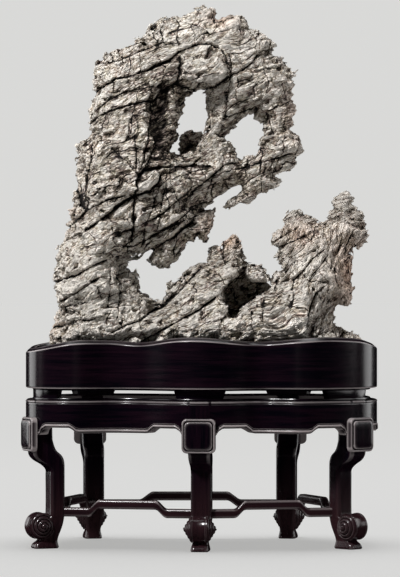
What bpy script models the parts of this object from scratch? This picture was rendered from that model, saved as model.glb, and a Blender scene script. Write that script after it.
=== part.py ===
"""A scholar's rock: a pierced, deeply fissured limestone standing in a five-legged, waisted hardwood stand.

Everything is drawn on one square grid: x runs to the right, y to the back and z up from the floor.
The grid's pitch follows from the overall height, so that one number sets the object's real size.
"""
import math

import bmesh
import bpy
import numpy as np
from mathutils import Matrix, Vector

# ---------------------------------------------------------------- driving dimensions
OVERALL_HEIGHT = 0.617            # metres, floor to the tip of the stone
HEIGHT_ON_GRID = 536.5            # the same height in grid units
GRID = OVERALL_HEIGHT / HEIGHT_ON_GRID
JOINT_GAP = 0.0003 / GRID         # clearance between pieces that touch, in grid units
PLAN_CENTRE = (-1.5, 1.2)         # the middle of the stand's plan, brought over the origin

# stand, heights above the floor in grid units
APRON_TOP = 146.0
WAIST_TOP = 157.5
DECK = 188.0                      # floor of the tray, on which the stone rests
RIM_BEVEL = (4.0, 3.0)            # the tray's rim slopes inwards: width, rise
RIM_TOP = 209.0                   # the rim's highest point
TRAY_WALL = 12.0
WALL_CLEARANCE = 3.0              # kept between the tray's wall and the stone's foot
WAIST_INSET = 7.0
WAIST_THICKNESS = 10.0
WAIST_RAILS = (2.0, 1.5)          # rail left below and above the waist's slots
POST_FLARE = 3.0                  # each post of the waist is wider at its top by this much
APRON_THICKNESS = 12.0
# The apron's lower edge: distance from a leg's axis, height.
APRON_EDGE = ((0, 112), (17, 112.5), (19.5, 117), (24, 119.7), (49, 119.7), (52, 118), (56, 115), (59, 114.5))
BLOCK_WIDTH = 22.0                # top of a leg, between two aprons
PAD_CENTRE_Z = 112.7
PAD_STEPS = ((33.0, 33.5, -2.0, 3.8), (27.5, 28.0, 3.4, 5.6))  # width, height, back, front
PAD_CORNER = 5.0
SCROLL_CENTRE = (-10.2, 22.0)     # outwards of the apron's face, height
SCROLL_STEPS = ((16.0, 4.6), (12.2, 9.0), (7.6, 13.0))  # half length, radius
STRETCHER_BOTTOM = 31.2
STRETCHER_SECTION = (9.0, 9.0)    # width, height
HUMP_RISE = 8.0
HUMP_SPAN = (0.2, 0.255)          # shares of the span from its middle: crown, foot of the slope

# ---------------------------------------------------------------- the stand's plan
# Lobed outline of tray, waist and apron, anticlockwise from the left end: x, y, height of the rim.
PLAN = (
    (-174, -12, 193), (-173, -34, 194), (-168, -54, 194.5), (-154, -71, 197), (-124, -80, 202),
    (-90, -71, 202.2), (-60, -78, 200.3), (-28, -99, 204.6), (-2, -106, 205.3), (27, -100, 203.1),
    (57, -87, 201), (96, -98, 204), (126, -88, 205.4), (155.5, -68, 204), (170.5, -42, 200),
    (175.5, -8, 197), (171, 36, 199), (152, 68, 203), (126, 93, 205), (93, 107.5, 203),
    (58, 101, 200), (20, 92, 202), (-30, 94, 205), (-76, 107, 203), (-114, 107.5, 200),
    (-152, 78, 199), (-172, 30, 196),
)
# name, point on the apron's face, direction it faces in degrees from the front towards the right,
# reach of the waist's post to its left and right
LEGS = (
    ("front_left", (-168.3, -54.0), -69.0, (28, 36)),
    ("front", (-2.3, -106.0), -6.5, (29, 29)),
    ("front_right", (155.7, -68.0), 45.0, (36, 28)),
    ("back_right", (92.2, 107.6), 170.0, (29, 29)),
    ("back_left", (-114.3, 107.6), -170.0, (29, 29)),
)
# A leg from the block at its top over the knee, down the shaft and the ankle to the toe:
# height, outer face, inner face (both outwards of the apron's face), width.
LEG_STATIONS = (
    (145.7, 0, -20, BLOCK_WIDTH), (105, 0, -21.2, BLOCK_WIDTH), (97, -0.3, -24.3, 22),
    (91.7, -1.2, -30, 21.5), (87, -5.3, -32.6, 21), (82.4, -13, -33.3, 20.5), (77.5, -18, -33.4, 20.5),
    (36, -18.4, -33.4, 20.5), (22, -13, -31.4, 18.5), (12, -9.5, -28, 15.5), (8, -8.4, -27, 15),
    (4.6, -4.2, -27.2, 16.5), (1.5, -2.8, -27.9, 17.5), (0, -3.6, -26.9, 16.5),
)
LEG_CORNER = 3.5                  # rounding of a leg's edges

# ---------------------------------------------------------------- the stone
# Outline seen from the front, clockwise from the lower left corner: x, z.
STONE_OUTLINE = (
    (-146, 188), (-149, 201), (-150, 213), (-143, 222), (-142, 230), (-142, 244), (-145, 256),
    (-142, 273), (-143, 284), (-143, 291), (-135, 306), (-129, 316), (-131, 320), (-126, 324),
    (-127, 352), (-123, 355), (-124, 398), (-111, 408), (-111, 437), (-105, 455), (-105, 465),
    (-104, 481), (-96, 482), (-93, 489), (-84, 494), (-73, 500), (-62, 505), (-59, 501),
    (-53, 513), (-40, 523), (-25, 528), (-4, 538), (5, 541), (14, 537), (18, 525), (24, 527),
    (35, 527), (42, 522), (46, 514), (58, 511), (65, 509), (75, 503), (75, 499), (69, 493),
    (72, 488), (80, 485), (86, 477), (93, 472), (92, 462), (88, 452), (92, 440), (92, 430),
    (91, 415), (97, 407), (99, 394), (95, 387), (89, 383), (87, 376), (73, 371), (72, 367),
    (77, 362), (74, 357), (62, 352), (56, 351), (52, 343), (47, 339), (39, 341), (29, 334),
    (19, 335), (27, 344), (35, 348), (41, 354), (40, 359), (29, 357), (14, 346), (0, 334),
    (15, 334), (13, 325), (8, 312), (2, 305), (-4, 311), (-14, 303), (-20, 292), (-28, 279),
    (-35, 275), (-46, 281), (-52, 288), (-48, 291), (-50, 296), (-62, 293), (-77, 283),
    (-75, 276), (-71, 269), (-65, 271), (-65, 257), (-60, 253), (-54, 246), (-47, 241),
    (-38, 244), (-34, 258), (-21, 270), (-9, 279), (-3, 279), (6, 282), (11, 292), (17, 294),
    (23, 293), (25, 302), (34, 313), (38, 308), (41, 294), (43, 280), (51, 280), (59, 278),
    (61, 272), (71, 262), (75, 268), (83, 273), (80, 287), (79, 297), (73, 302), (73, 309),
    (85, 316), (85, 326), (89, 333), (100, 331), (113, 325), (123, 322), (131, 329), (134, 336),
    (134, 344), (140, 349), (149, 347), (152, 336), (161, 326), (165, 317), (163, 304),
    (157, 299), (150, 300), (148, 293), (149, 262), (151, 254), (146, 243), (134, 241),
    (131, 231), (134, 219), (141, 212), (153, 212), (162, 206), (160, 188),
)
UPPER_LEFT_WINDOW = (
    (1, 457), (4, 450), (7, 442), (6, 432), (8, 428), (5, 416), (2, 400), (-2, 390), (-15, 389),
    (-32, 391), (-32, 401), (-27, 411), (-25, 422), (-22, 430), (-20, 441), (-16, 449), (-7, 450),
    (-2, 456),
)
UPPER_RIGHT_WINDOW = (
    (55, 434), (46, 430), (37, 424), (27, 413), (20, 409), (28, 401), (35, 391), (40, 384),
    (46, 389), (52, 389), (59, 398), (59, 403), (63, 411), (64, 426), (60, 423), (55, 425),
)
CAVE = (
    (43, 277), (48, 265), (71, 263), (73, 254), (61, 247), (48, 238), (36, 225), (28, 226), (20, 240),
    (19, 256), (27, 264),
)
CAVE_END = 22.0                   # the cave runs back from the front to this y
# How far the stone reaches to the front and to the back of y = 0: x, z, front, back.
STONE_DEPTHS = (
    (5, 520, 24, 24), (-60, 500, 30, 28), (-95, 455, 34, 32), (-95, 420, 40, 36), (-60, 400, 50, 42),
    (-100, 350, 48, 42), (-35, 350, 48, 40), (5, 470, 46, 30), (50, 495, 34, 34), (75, 460, 32, 34),
    (82, 415, 28, 30), (78, 380, 27, 27), (45, 348, 13, 16), (17, 425, 26, 24), (12, 372, 38, 30),
    (-3, 318, 30, 26), (-38, 288, 24, 28), (-112, 305, 50, 50), (-118, 240, 62, 60),
    (-40, 222, 62, 60), (20, 278, 36, 40), (40, 212, 62, 60), (100, 230, 56, 56), (115, 280, 44, 46),
    (92, 322, 24, 30), (150, 325, 26, 26), (150, 210, 38, 40), (56, 272, 30, 44),
)
DEPTH_REACH = 26.0                # how far each of those depths is felt
EDGE_ROUNDING = 34.0              # the stone thins towards its outline over this distance
EDGE_POWER = 1.75
BLEND = 3.0                       # softness with which lumps and hollows join the body
# Lumps and hollows: centre, radii.
LUMPS = (
    ((-5, 26, 401), (15, 13, 13)),      # rough lump behind the upper left window
    ((6, -40, 472), (24, 10, 12)),      # slab that overhangs the upper left window
    ((-50, -44, 361), (12, 9, 12)),     # lens-shaped boulder in the body
    ((-112, -58, 256), (22, 10, 9)),    # wedge low on the left
)
HOLLOWS = (
    ((-37, -54, 424), (18, 38, 45)),    # channel beside the upper left window
    ((-60, 60, 330), (40, 26, 22)),     # four hollows at the back
    ((60, 62, 235), (34, 24, 20)),
    ((-96, 58, 236), (22, 20, 18)),
    ((60, 50, 466), (22, 18, 14)),
)
# Wide fissures: half width, depth, course x, z.
FISSURES = (
    (2.6, 8, ((-106, 453), (-84, 463), (-65, 470), (-44, 475), (-27, 485), (-13, 494), (-3, 499), (18, 497))),
    (2.2, 7, ((-110, 419), (-97, 430), (-82, 435), (-65, 439), (-42, 446), (-34, 456), (-23, 461))),
    (2.4, 8, ((-23, 461), (-11, 459), (4, 458), (20, 460), (28, 466), (42, 473), (54, 482), (61, 491))),
    (2.0, 6, ((-134, 320), (-122, 323), (-110, 335), (-97, 341), (-86, 345), (-70, 348))),
    (2.8, 9, ((-110, 316), (-97, 328), (-85, 335), (-76, 341), (-60, 349), (-51, 351), (-36, 363))),
    (2.2, 7, ((-46, 429), (-51, 401), (-58, 382), (-63, 357), (-62, 349), (-66, 339), (-66, 319))),
    (2.4, 7, ((-115, 367), (-115, 354), (-113, 341), (-110, 336))),
    (2.0, 6, ((-78, 300), (-62, 301), (-51, 307), (-37, 315), (-23, 321), (-12, 326), (0, 331))),
    (3.2, 9, ((-46, 294), (-35, 303), (-23, 310), (-14, 318), (-3, 326))),
    (2.0, 6, ((42, 379), (59, 384), (80, 389), (98, 395))),
    (2.2, 7, ((-136, 268), (-123, 269), (-111, 276), (-97, 283), (-90, 286))),
    (2.2, 7, ((-136, 245), (-125, 250), (-113, 258), (-106, 263))),
    (2.2, 7, ((-145, 222), (-130, 222), (-115, 222), (-108, 224))),
    (2.6, 8, ((6, 280), (-8, 265), (-19, 254), (-31, 242), (-46, 235), (-62, 223), (-74, 219), (-90, 211))),
    (2.2, 7, ((-60, 203), (-40, 214), (-22, 224), (-2, 235), (14, 247))),
    (2.2, 6, ((91, 256), (96, 266), (104, 276), (114, 288), (124, 296))),
    (2.0, 5, ((103, 217), (107, 236), (114, 252), (122, 258))),
    (2.2, 6, ((85, 302), (94, 305), (108, 311))),
)
FISSURE_SLANT = (0.22, 0.14)      # sideways and upward shift of a fissure for each unit of depth
BLOCK_SIZE = (30.0, 24.0, 16.0)   # along the layers, in depth, across the layers
THIN = 38.0                       # where the stone is thinner than this its relief is slighter
STONE_PITCH = 2.8                 # sampling pitch of the stone's body
STONE_SHARE_KEPT = 0.0265         # share of the stone's evenly spaced triangles kept as facets


# ---------------------------------------------------------------- scene helpers
def clear_scene():
    for ob in list(bpy.data.objects):
        bpy.data.objects.remove(ob, do_unlink=True)


def make_material(name, colour, roughness):
    material = bpy.data.materials.new(name)
    material.use_nodes = True
    shader = material.node_tree.nodes["Principled BSDF"]
    shader.inputs["Base Color"].default_value = (*colour, 1.0)
    shader.inputs["Roughness"].default_value = roughness
    shader.inputs["Metallic"].default_value = 0.0
    return material


def add_object(name, verts, faces, colour, roughness, guide=False):
    """A mesh object from grid coordinates."""
    centre = np.array((*PLAN_CENTRE, 0.0))
    mesh = bpy.data.meshes.new(name)
    mesh.from_pydata(((np.asarray(verts, float) - centre) * GRID).tolist(), [], faces)
    mesh.update()
    turn_outwards(mesh)
    ob = bpy.data.objects.new(name, mesh)
    bpy.context.scene.collection.objects.link(ob)
    if guide:
        ob.hide_render = True
        ob.display_type = "WIRE"
    else:
        mesh.materials.append(make_material(name, colour, roughness))
    return ob


def turn_outwards(mesh):
    work = bmesh.new()
    work.from_mesh(mesh)
    bmesh.ops.recalc_face_normals(work, faces=work.faces)
    if work.calc_volume(signed=True) < 0:
        bmesh.ops.reverse_faces(work, faces=work.faces)
    work.to_mesh(mesh)
    work.free()


def add_boolean(ob, cutter, operation):
    modifier = ob.modifiers.new(operation.title(), "BOOLEAN")
    modifier.operation = operation
    modifier.solver = "EXACT"
    modifier.object = cutter


def shade(ob, angle=35.0):
    ob.data.shade_smooth()
    ob.data.set_sharp_from_angle(angle=math.radians(angle))


# ---------------------------------------------------------------- the stand
WOOD = (0.022, 0.012, 0.013)
WOOD_ROUGHNESS = 0.3


class Plan:
    """The closed, lobed outline, read by the distance along it."""

    def __init__(self, points, per_span=16):
        p = np.array(points, float)
        n = len(p)
        rows = []
        for i in range(n):
            a, b, c, d = p[(i - 1) % n], p[i], p[(i + 1) % n], p[(i + 2) % n]
            for k in range(per_span):
                t = k / per_span
                rows.append(0.5 * (2 * b + (c - a) * t + (2 * a - 5 * b + 4 * c - d) * t * t
                                   + (3 * b - a - 3 * c + d) * t ** 3))
        self.rows = np.array(rows + [rows[0]])
        step = np.linalg.norm(np.diff(self.rows[:, :2], axis=0), axis=1)
        self.s = np.concatenate(((0,), np.cumsum(step)))
        self.length = self.s[-1]

    def at(self, s):
        """Position, outward normal and rim height at a distance along the outline."""
        s = np.mod(s, self.length)
        x, y, rim = (np.interp(s, self.s, self.rows[:, k]) for k in range(3))
        ahead, behind = np.mod(s + 1.5, self.length), np.mod(s - 1.5, self.length)
        tx, ty = (np.interp(ahead, self.s, self.rows[:, k]) - np.interp(behind, self.s, self.rows[:, k])
                  for k in (0, 1))
        size = math.hypot(tx, ty)
        return Vector((x, y)), Vector((ty / size, -tx / size)), rim

    def nearest(self, point):
        d = np.hypot(self.rows[:, 0] - point[0], self.rows[:, 1] - point[1])
        return self.s[int(np.argmin(d))]

    def point(self, s, outwards, z):
        place, normal, _ = self.at(s)
        return (place.x + normal.x * outwards, place.y + normal.y * outwards, z)


def sweep(plan, stations, section, closed):
    """Faces of a section carried along the outline; section(s) gives (shift, outwards, z) rows."""
    verts, faces = [], []
    size = len(section(stations[0]))
    for s in stations:
        verts += [plan.point(s + shift, outwards, z) for shift, outwards, z in section(s)]
    count = len(stations)
    for i in range(count if closed else count - 1):
        a, b = i * size, ((i + 1) % count) * size
        for k in range(size):
            m = (k + 1) % size
            faces.append((a + k, a + m, b + m, b + k))
    if not closed:
        faces.append(tuple(reversed(range(size))))
        faces.append(tuple(range((count - 1) * size, count * size)))
    return verts, faces


def leg_frames(plan):
    """For each leg: its name, its place along the outline, and the matrix of its own frame."""
    frames = []
    for name, point, facing, post in LEGS:
        angle = math.radians(facing)
        outwards = Vector((math.sin(angle), -math.cos(angle), 0))
        along = Vector((math.cos(angle), math.sin(angle), 0))
        matrix = Matrix((outwards, along, Vector((0, 0, 1)))).transposed().to_4x4()
        matrix.translation = Vector((*point, 0))
        frames.append((name, plan.nearest(point), matrix, post))
    return frames


def placed(matrix, verts):
    return [tuple(matrix @ Vector(v)) for v in verts]


def rounded_rectangle(x0, x1, y0, y1, corner, steps):
    """Corner points of a rectangle with rounded corners, anticlockwise."""
    points = []
    for cx, cy, start in ((x1 - corner, y1 - corner, 0), (x0 + corner, y1 - corner, 90),
                          (x0 + corner, y0 + corner, 180), (x1 - corner, y0 + corner, 270)):
        for k in range(steps + 1):
            a = math.radians(start + 90 * k / steps)
            points.append((cx + corner * math.cos(a), cy + corner * math.sin(a)))
    return points


def joined_rings(rings):
    """Faces of a closed solid whose cross-sections are the given rings of points."""
    size = len(rings[0])
    faces = []
    for i in range(len(rings) - 1):
        for k in range(size):
            m = (k + 1) % size
            faces.append((i * size + k, i * size + m, (i + 1) * size + m, (i + 1) * size + k))
    faces.append(tuple(reversed(range(size))))
    faces.append(tuple(range((len(rings) - 1) * size, len(rings) * size)))
    return [point for ring in rings for point in ring], faces


def leg_body(steps):
    """The leg from block to toe, as a stack of rounded cross-sections."""
    rings = []
    for z, outer, inner, width in LEG_STATIONS:
        ring = rounded_rectangle(inner, outer, -width / 2, width / 2, LEG_CORNER, steps)
        rings.append([(s, t, z) for s, t in ring])
    return joined_rings(rings)


def rounded_plate(width, height, back, front, corner, steps=2):
    """Upright plate with rounded corners, facing outwards."""
    outline = rounded_rectangle(-width / 2, width / 2, -height / 2, height / 2, corner, steps)
    return joined_rings([[(s, t, PAD_CENTRE_Z + z) for t, z in outline] for s in (back, front)])


def scroll(sides):
    """Stepped volute, turned about an axis that runs across the leg."""
    rows = []
    for i, (half, radius) in enumerate(SCROLL_STEPS):
        rows.append((half, radius))
        if i + 1 < len(SCROLL_STEPS):
            rows.append((SCROLL_STEPS[i + 1][0] + 0.4, radius + 0.6))
    rows += [(-half, radius) for half, radius in reversed(rows)]
    angles = [2 * math.pi * (k + 0.5) / sides for k in range(sides)]
    x, z = SCROLL_CENTRE
    return joined_rings([[(x + r * math.cos(a), y, z + r * math.sin(a)) for a in angles] for y, r in rows])


def box(x0, x1, y0, y1, z0, z1):
    verts = [(x, y, z) for x in (x0, x1) for y in (y0, y1) for z in (z0, z1)]
    faces = [(0, 1, 3, 2), (4, 6, 7, 5), (0, 4, 5, 1), (2, 3, 7, 6), (0, 2, 6, 4), (1, 5, 7, 3)]
    return verts, faces


def guide_in_leg(name, matrix, shape):
    verts, faces = shape
    return add_object(name, placed(matrix, verts), faces, WOOD, WOOD_ROUGHNESS, guide=True)


def make_leg(name, matrix):
    """Block, knee, shaft, ankle and toe in one piece, with the pad and the scroll joined on."""
    verts, faces = leg_body(1)
    leg = add_object("leg_" + name, placed(matrix, verts), faces, WOOD, WOOD_ROUGHNESS)
    for i, (width, height, back, front) in enumerate(PAD_STEPS):
        plate = rounded_plate(width, height, back, front, PAD_CORNER)
        add_boolean(leg, guide_in_leg("guide_pad%d_%s" % (i, name), matrix, plate), "UNION")
    add_boolean(leg, guide_in_leg("guide_scroll_" + name, matrix, scroll(12)), "UNION")
    shade(leg)


def make_apron(name, plan, start, end, cutters):
    """Board between two legs; its lower edge hangs lower in the middle."""
    length = (end - start) % plan.length
    near = [d for d, _ in APRON_EDGE]
    count = max(2, int((length - 2 * near[-1]) / 16))
    middle = [near[-1] + (length - 2 * near[-1]) * k / count for k in range(1, count)]
    stations = [start + d for d in near + middle + [length - d for d in reversed(near)]]
    heights = [z for _, z in APRON_EDGE]

    def section(s):
        d = s - start
        z = float(np.interp(min(d, length - d), near, heights))
        return ((0, 0, z), (0, 0, APRON_TOP), (0, -APRON_THICKNESS, APRON_TOP), (0, -APRON_THICKNESS, z))

    verts, faces = sweep(plan, stations, section, closed=False)
    apron = add_object("apron_" + name, verts, faces, WOOD, WOOD_ROUGHNESS)
    for cutter in cutters:
        add_boolean(apron, cutter, "DIFFERENCE")
    shade(apron)


def make_waist(plan, legs):
    """Recessed ring above the apron, pierced by a long slot between each two posts."""
    z0, z1 = APRON_TOP + JOINT_GAP, WAIST_TOP

    def ring(s):
        outer, inner = -WAIST_INSET, -WAIST_INSET - WAIST_THICKNESS
        return ((0, outer, z0), (0, outer, z1), (0, inner, z1), (0, inner, z0))

    stations = [plan.length * k / 36 for k in range(36)]
    verts, faces = sweep(plan, stations, ring, closed=True)
    waist = add_object("waist", verts, faces, WOOD, WOOD_ROUGHNESS)
    low, high = z0 + WAIST_RAILS[0], z1 - WAIST_RAILS[1]
    for (name, s, _, post), (_, t, _, next_post) in zip(legs, legs[1:] + legs[:1]):
        start = s + post[1] - POST_FLARE
        length = (t - s) % plan.length - post[1] - next_post[0] + 2 * POST_FLARE
        count = max(2, int(length / 22))

        def slot(at, start=start, length=length):
            share = 2 * (at - start) / length - 1
            shift = -POST_FLARE * share
            outer, inner = -WAIST_INSET + 3, -WAIST_INSET - WAIST_THICKNESS - 3
            return ((0, outer, low), (shift, outer, high), (shift, inner, high), (0, inner, low))

        verts, faces = sweep(plan, [start + length * k / count for k in range(count + 1)], slot, False)
        cutter = add_object("guide_slot_" + name, verts, faces, WOOD, WOOD_ROUGHNESS, guide=True)
        add_boolean(waist, cutter, "DIFFERENCE")
    shade(waist)


def make_tray(plan):
    """Deep tray with an undulating, bevelled rim, hollowed to the deck on which the stone stands."""
    count = 56
    z0 = WAIST_TOP + JOINT_GAP
    verts = []
    for k in range(count):
        s = plan.length * k / count
        rim = plan.at(s)[2]
        width, rise = RIM_BEVEL
        verts.append(plan.point(s, 0, z0))
        verts.append(plan.point(s, 0, rim))
        verts.append(plan.point(s, -width, rim + rise))
        verts.append(plan.point(s, -TRAY_WALL + 3, rim + rise))
        verts.append(plan.point(s, -TRAY_WALL, DECK))
    size = 5
    faces = []
    for i in range(count):
        a, b = i * size, ((i + 1) % count) * size
        faces += [(a + k, b + k, b + k + 1, a + k + 1) for k in range(size - 1)]
    faces.append(tuple(i * size for i in reversed(range(count))))
    faces.append(tuple(i * size + size - 1 for i in range(count)))
    tray = add_object("tray", verts, faces, WOOD, WOOD_ROUGHNESS)
    shade(tray)


def make_stretcher(name, start, end, cutters):
    """Humpback rail from the middle of one leg to the middle of the next."""
    a, b = Vector(start), Vector(end)
    along = (b - a).normalized()
    side = Vector((-along.y, along.x))
    width, height = STRETCHER_SECTION
    crown, foot = HUMP_SPAN
    half, bevel = width / 2, 2.2
    section = ((-half, 0), (-half, height - bevel), (-half + bevel, height), (half - bevel, height),
               (half, height - bevel), (half, 0))
    rise_course = ((-0.5, 0), (-foot, 0), (-crown, HUMP_RISE), (crown, HUMP_RISE), (foot, 0), (0.5, 0))
    rings = []
    for share, rise in rise_course:
        centre = a + (b - a) * (share + 0.5)
        rings.append([(centre.x + side.x * t, centre.y + side.y * t, STRETCHER_BOTTOM + rise + z)
                      for t, z in section])
    verts, faces = joined_rings(rings)
    rail = add_object("stretcher_" + name, verts, faces, WOOD, WOOD_ROUGHNESS)
    for cutter in cutters:
        add_boolean(rail, cutter, "DIFFERENCE")
    shade(rail)


def make_stand():
    plan = Plan(PLAN)
    legs = leg_frames(plan)
    half = BLOCK_WIDTH / 2 + JOINT_GAP
    inner, outer = LEG_STATIONS[7][2], LEG_STATIONS[7][1]
    wide, high, back, _ = PAD_STEPS[0]
    low, top = PAD_CENTRE_Z - high / 2, PAD_CENTRE_Z + high / 2
    room = 2 * JOINT_GAP
    blocks, shafts, centres = [], [], []
    for name, _, matrix, _ in legs:
        make_leg(name, matrix)
        block = box(-34, 4, -half, half, 90, APRON_TOP + 4)
        behind_pad = box(back - room, 8, -wide / 2 - room, wide / 2 + room, low - 5, top + room)
        blocks.append((guide_in_leg("guide_block_" + name, matrix, block),
                       guide_in_leg("guide_behind_pad_" + name, matrix, behind_pad)))
        shaft = box(inner - room / 2, outer + room, -BLOCK_WIDTH / 2, BLOCK_WIDTH / 2, 20, 70)
        shafts.append(guide_in_leg("guide_shaft_" + name, matrix, shaft))
        centres.append((matrix @ Vector(((inner + outer) / 2, 0, 0))).to_2d())
    for i, side in enumerate(("front_left", "front_right", "right", "back", "left")):
        j = (i + 1) % len(legs)
        make_apron(side, plan, legs[i][1], legs[i][1] + (legs[j][1] - legs[i][1]) % plan.length,
                   blocks[i] + blocks[j])
        make_stretcher(side, centres[i], centres[j], (shafts[i], shafts[j]))
    make_waist(plan, legs)
    make_tray(plan)


# ---------------------------------------------------------------- the stone
STONE = (0.45, 0.40, 0.34)
STONE_ROUGHNESS = 0.85


def inside_distance(x, z, polygon):
    """Signed distance to a closed polygon, positive inside."""
    best = np.full(x.shape, 1e9)
    inside = np.zeros(x.shape, bool)
    for (ax, az), (bx, bz) in zip(polygon, polygon[1:] + polygon[:1]):
        ex, ez = bx - ax, bz - az
        t = np.clip(((x - ax) * ex + (z - az) * ez) / (ex * ex + ez * ez), 0, 1)
        best = np.minimum(best, (x - ax - t * ex) ** 2 + (z - az - t * ez) ** 2)
        if az != bz:
            inside ^= ((az > z) != (bz > z)) & (x < ax + (z - az) * ex / ez)
    return np.where(inside, 1, -1) * np.sqrt(best)


def course_distance(x, z, points):
    """Distance to an open course of points."""
    best = np.full(x.shape, 1e9)
    for (ax, az), (bx, bz) in zip(points, points[1:]):
        ex, ez = bx - ax, bz - az
        t = np.clip(((x - ax) * ex + (z - az) * ez) / (ex * ex + ez * ez), 0, 1)
        best = np.minimum(best, (x - ax - t * ex) ** 2 + (z - az - t * ez) ** 2)
    return np.sqrt(best)


def depth_plan(x, z):
    weight, front, back = (np.zeros(x.shape) for _ in range(3))
    for px, pz, to_front, to_back in STONE_DEPTHS:
        w = np.exp(-((x - px) ** 2 + (z - pz) ** 2) / (2 * DEPTH_REACH ** 2)) + 1e-9
        weight += w
        front += w * to_front
        back += w * to_back
    return front / weight, back / weight


def inside_ellipsoid(x, y, z, centre, radii):
    """Approximate distance to an ellipsoid's surface, positive inside."""
    q = [(a - c) / r for a, c, r in zip((x, y, z), centre, radii)]
    k0 = np.sqrt(sum(a * a for a in q)) + 1e-6
    k1 = np.sqrt(sum((a / r) ** 2 for a, r in zip(q, radii))) + 1e-6
    return k0 * (1 - k0) / k1


def smooth_max(a, b, k):
    h = np.clip(0.5 + 0.5 * (a - b) / k, 0, 1)
    return b + (a - b) * h + k * h * (1 - h)


def lattice_hash(cell, seed):
    """A fixed, well mixed whole number for every cell of a lattice."""
    c = cell.astype(np.int64)
    h = (c[:, 0] * 73856093) ^ (c[:, 1] * 19349663) ^ (c[:, 2] * 83492791) ^ (seed * 2654435761)
    h = (h ^ (h >> 13)) & 0xFFFFFFFF
    h = (h * 1274126177) & 0xFFFFFFFF
    return h ^ (h >> 16)


def gradient_noise(p, seed):
    """Smooth noise between about -1 and 1."""
    table = np.random.RandomState(seed).normal(size=(64, 3))
    table /= np.linalg.norm(table, axis=1)[:, None]
    base = np.floor(p).astype(np.int64)
    f = p - base
    u = f * f * f * (f * (f * 6 - 15) + 10)
    total = np.zeros(len(p))
    for corner in np.ndindex(2, 2, 2):
        weight = np.prod(np.where(corner, u, 1 - u), axis=1)
        slope = table[lattice_hash(base + corner, seed) & 63]
        total += weight * ((f - corner) * slope).sum(axis=1)
    return total * 1.5


def cells(p, seed, jitter=0.8):
    """Gap between the two nearest scattered points, with a value and a tilt of the nearest one."""
    base = np.floor(p - 0.5).astype(np.int64)
    first, second = np.full(len(p), 9.0), np.full(len(p), 9.0)
    value, tilt = np.zeros(len(p)), np.zeros(len(p))
    for corner in np.ndindex(2, 2, 2):
        cell = base + corner
        h = lattice_hash(cell, seed)
        r = np.stack((h & 1023, (h >> 10) & 1023, (h >> 20) & 1023), 1) / 1023.0 - 0.5
        delta = p - (cell + 0.5 + jitter * r)
        d = np.sqrt((delta ** 2).sum(axis=1))
        closer = d < first
        second = np.where(closer, first, np.minimum(second, d))
        first = np.where(closer, d, first)
        value = np.where(closer, r[:, 0] * 2, value)
        tilt = np.where(closer, (delta * r[:, [1, 2, 0]]).sum(axis=1) * 2, tilt)
    return second - first, value, tilt


def along_and_across_layers(x, z):
    """The layers rise to the right, and stand steeper in the right-hand tower."""
    steep = np.clip((x - 62) / 40, 0, 1) * np.clip((350 - z) / 30, 0, 1)
    angle = np.radians(27 + 31 * steep)
    px, pz = x - 70, z - 290
    return px * np.cos(angle) + pz * np.sin(angle), pz * np.cos(angle) - px * np.sin(angle)


def stone_relief(p):
    """How far the surface stands out (or is cut back) at points near it: blocks and fissures."""
    x, y, z = p[:, 0], p[:, 1], p[:, 2]
    along, across = along_and_across_layers(x, z)
    warp = gradient_noise(p / 34, 1) * 7
    q = np.stack((along + warp, y + warp, across + gradient_noise(p / 26, 2) * 6), 1)
    gap, value, tilt = cells(q / BLOCK_SIZE, 11)
    out = 1.1 + gradient_noise(p / 46, 3) * 4 + value * 1.6 + tilt * 4.5 - 3.0 * np.exp(-(gap / 0.12) ** 2)
    out += (1 - 2 * np.abs(gradient_noise(q / (14, 12, 9), 6))) * 1.6
    sx, sz = x + FISSURE_SLANT[0] * (y + 45), z + FISSURE_SLANT[1] * (y + 45)
    wander = gradient_noise(p / 7, 8) * 1.6
    fade = np.clip(0.75 - y / 60, 0.25, 1)
    for half, depth, course in FISSURES:
        d = course_distance(sx + wander, sz + wander, course)
        out -= depth * fade * np.exp(-(d / half) ** 2)
    return out


def inside_tray(xs, ys):
    """Distance inwards from the tray's wall, less the clearance, over a regular grid."""
    plan = Plan(PLAN)
    outline = [plan.point(plan.length * k / 90, -TRAY_WALL - WALL_CLEARANCE, 0)[:2] for k in range(90)]
    x, y = np.meshgrid(xs, ys, indexing="ij")
    return inside_distance(x, y, outline)


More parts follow.
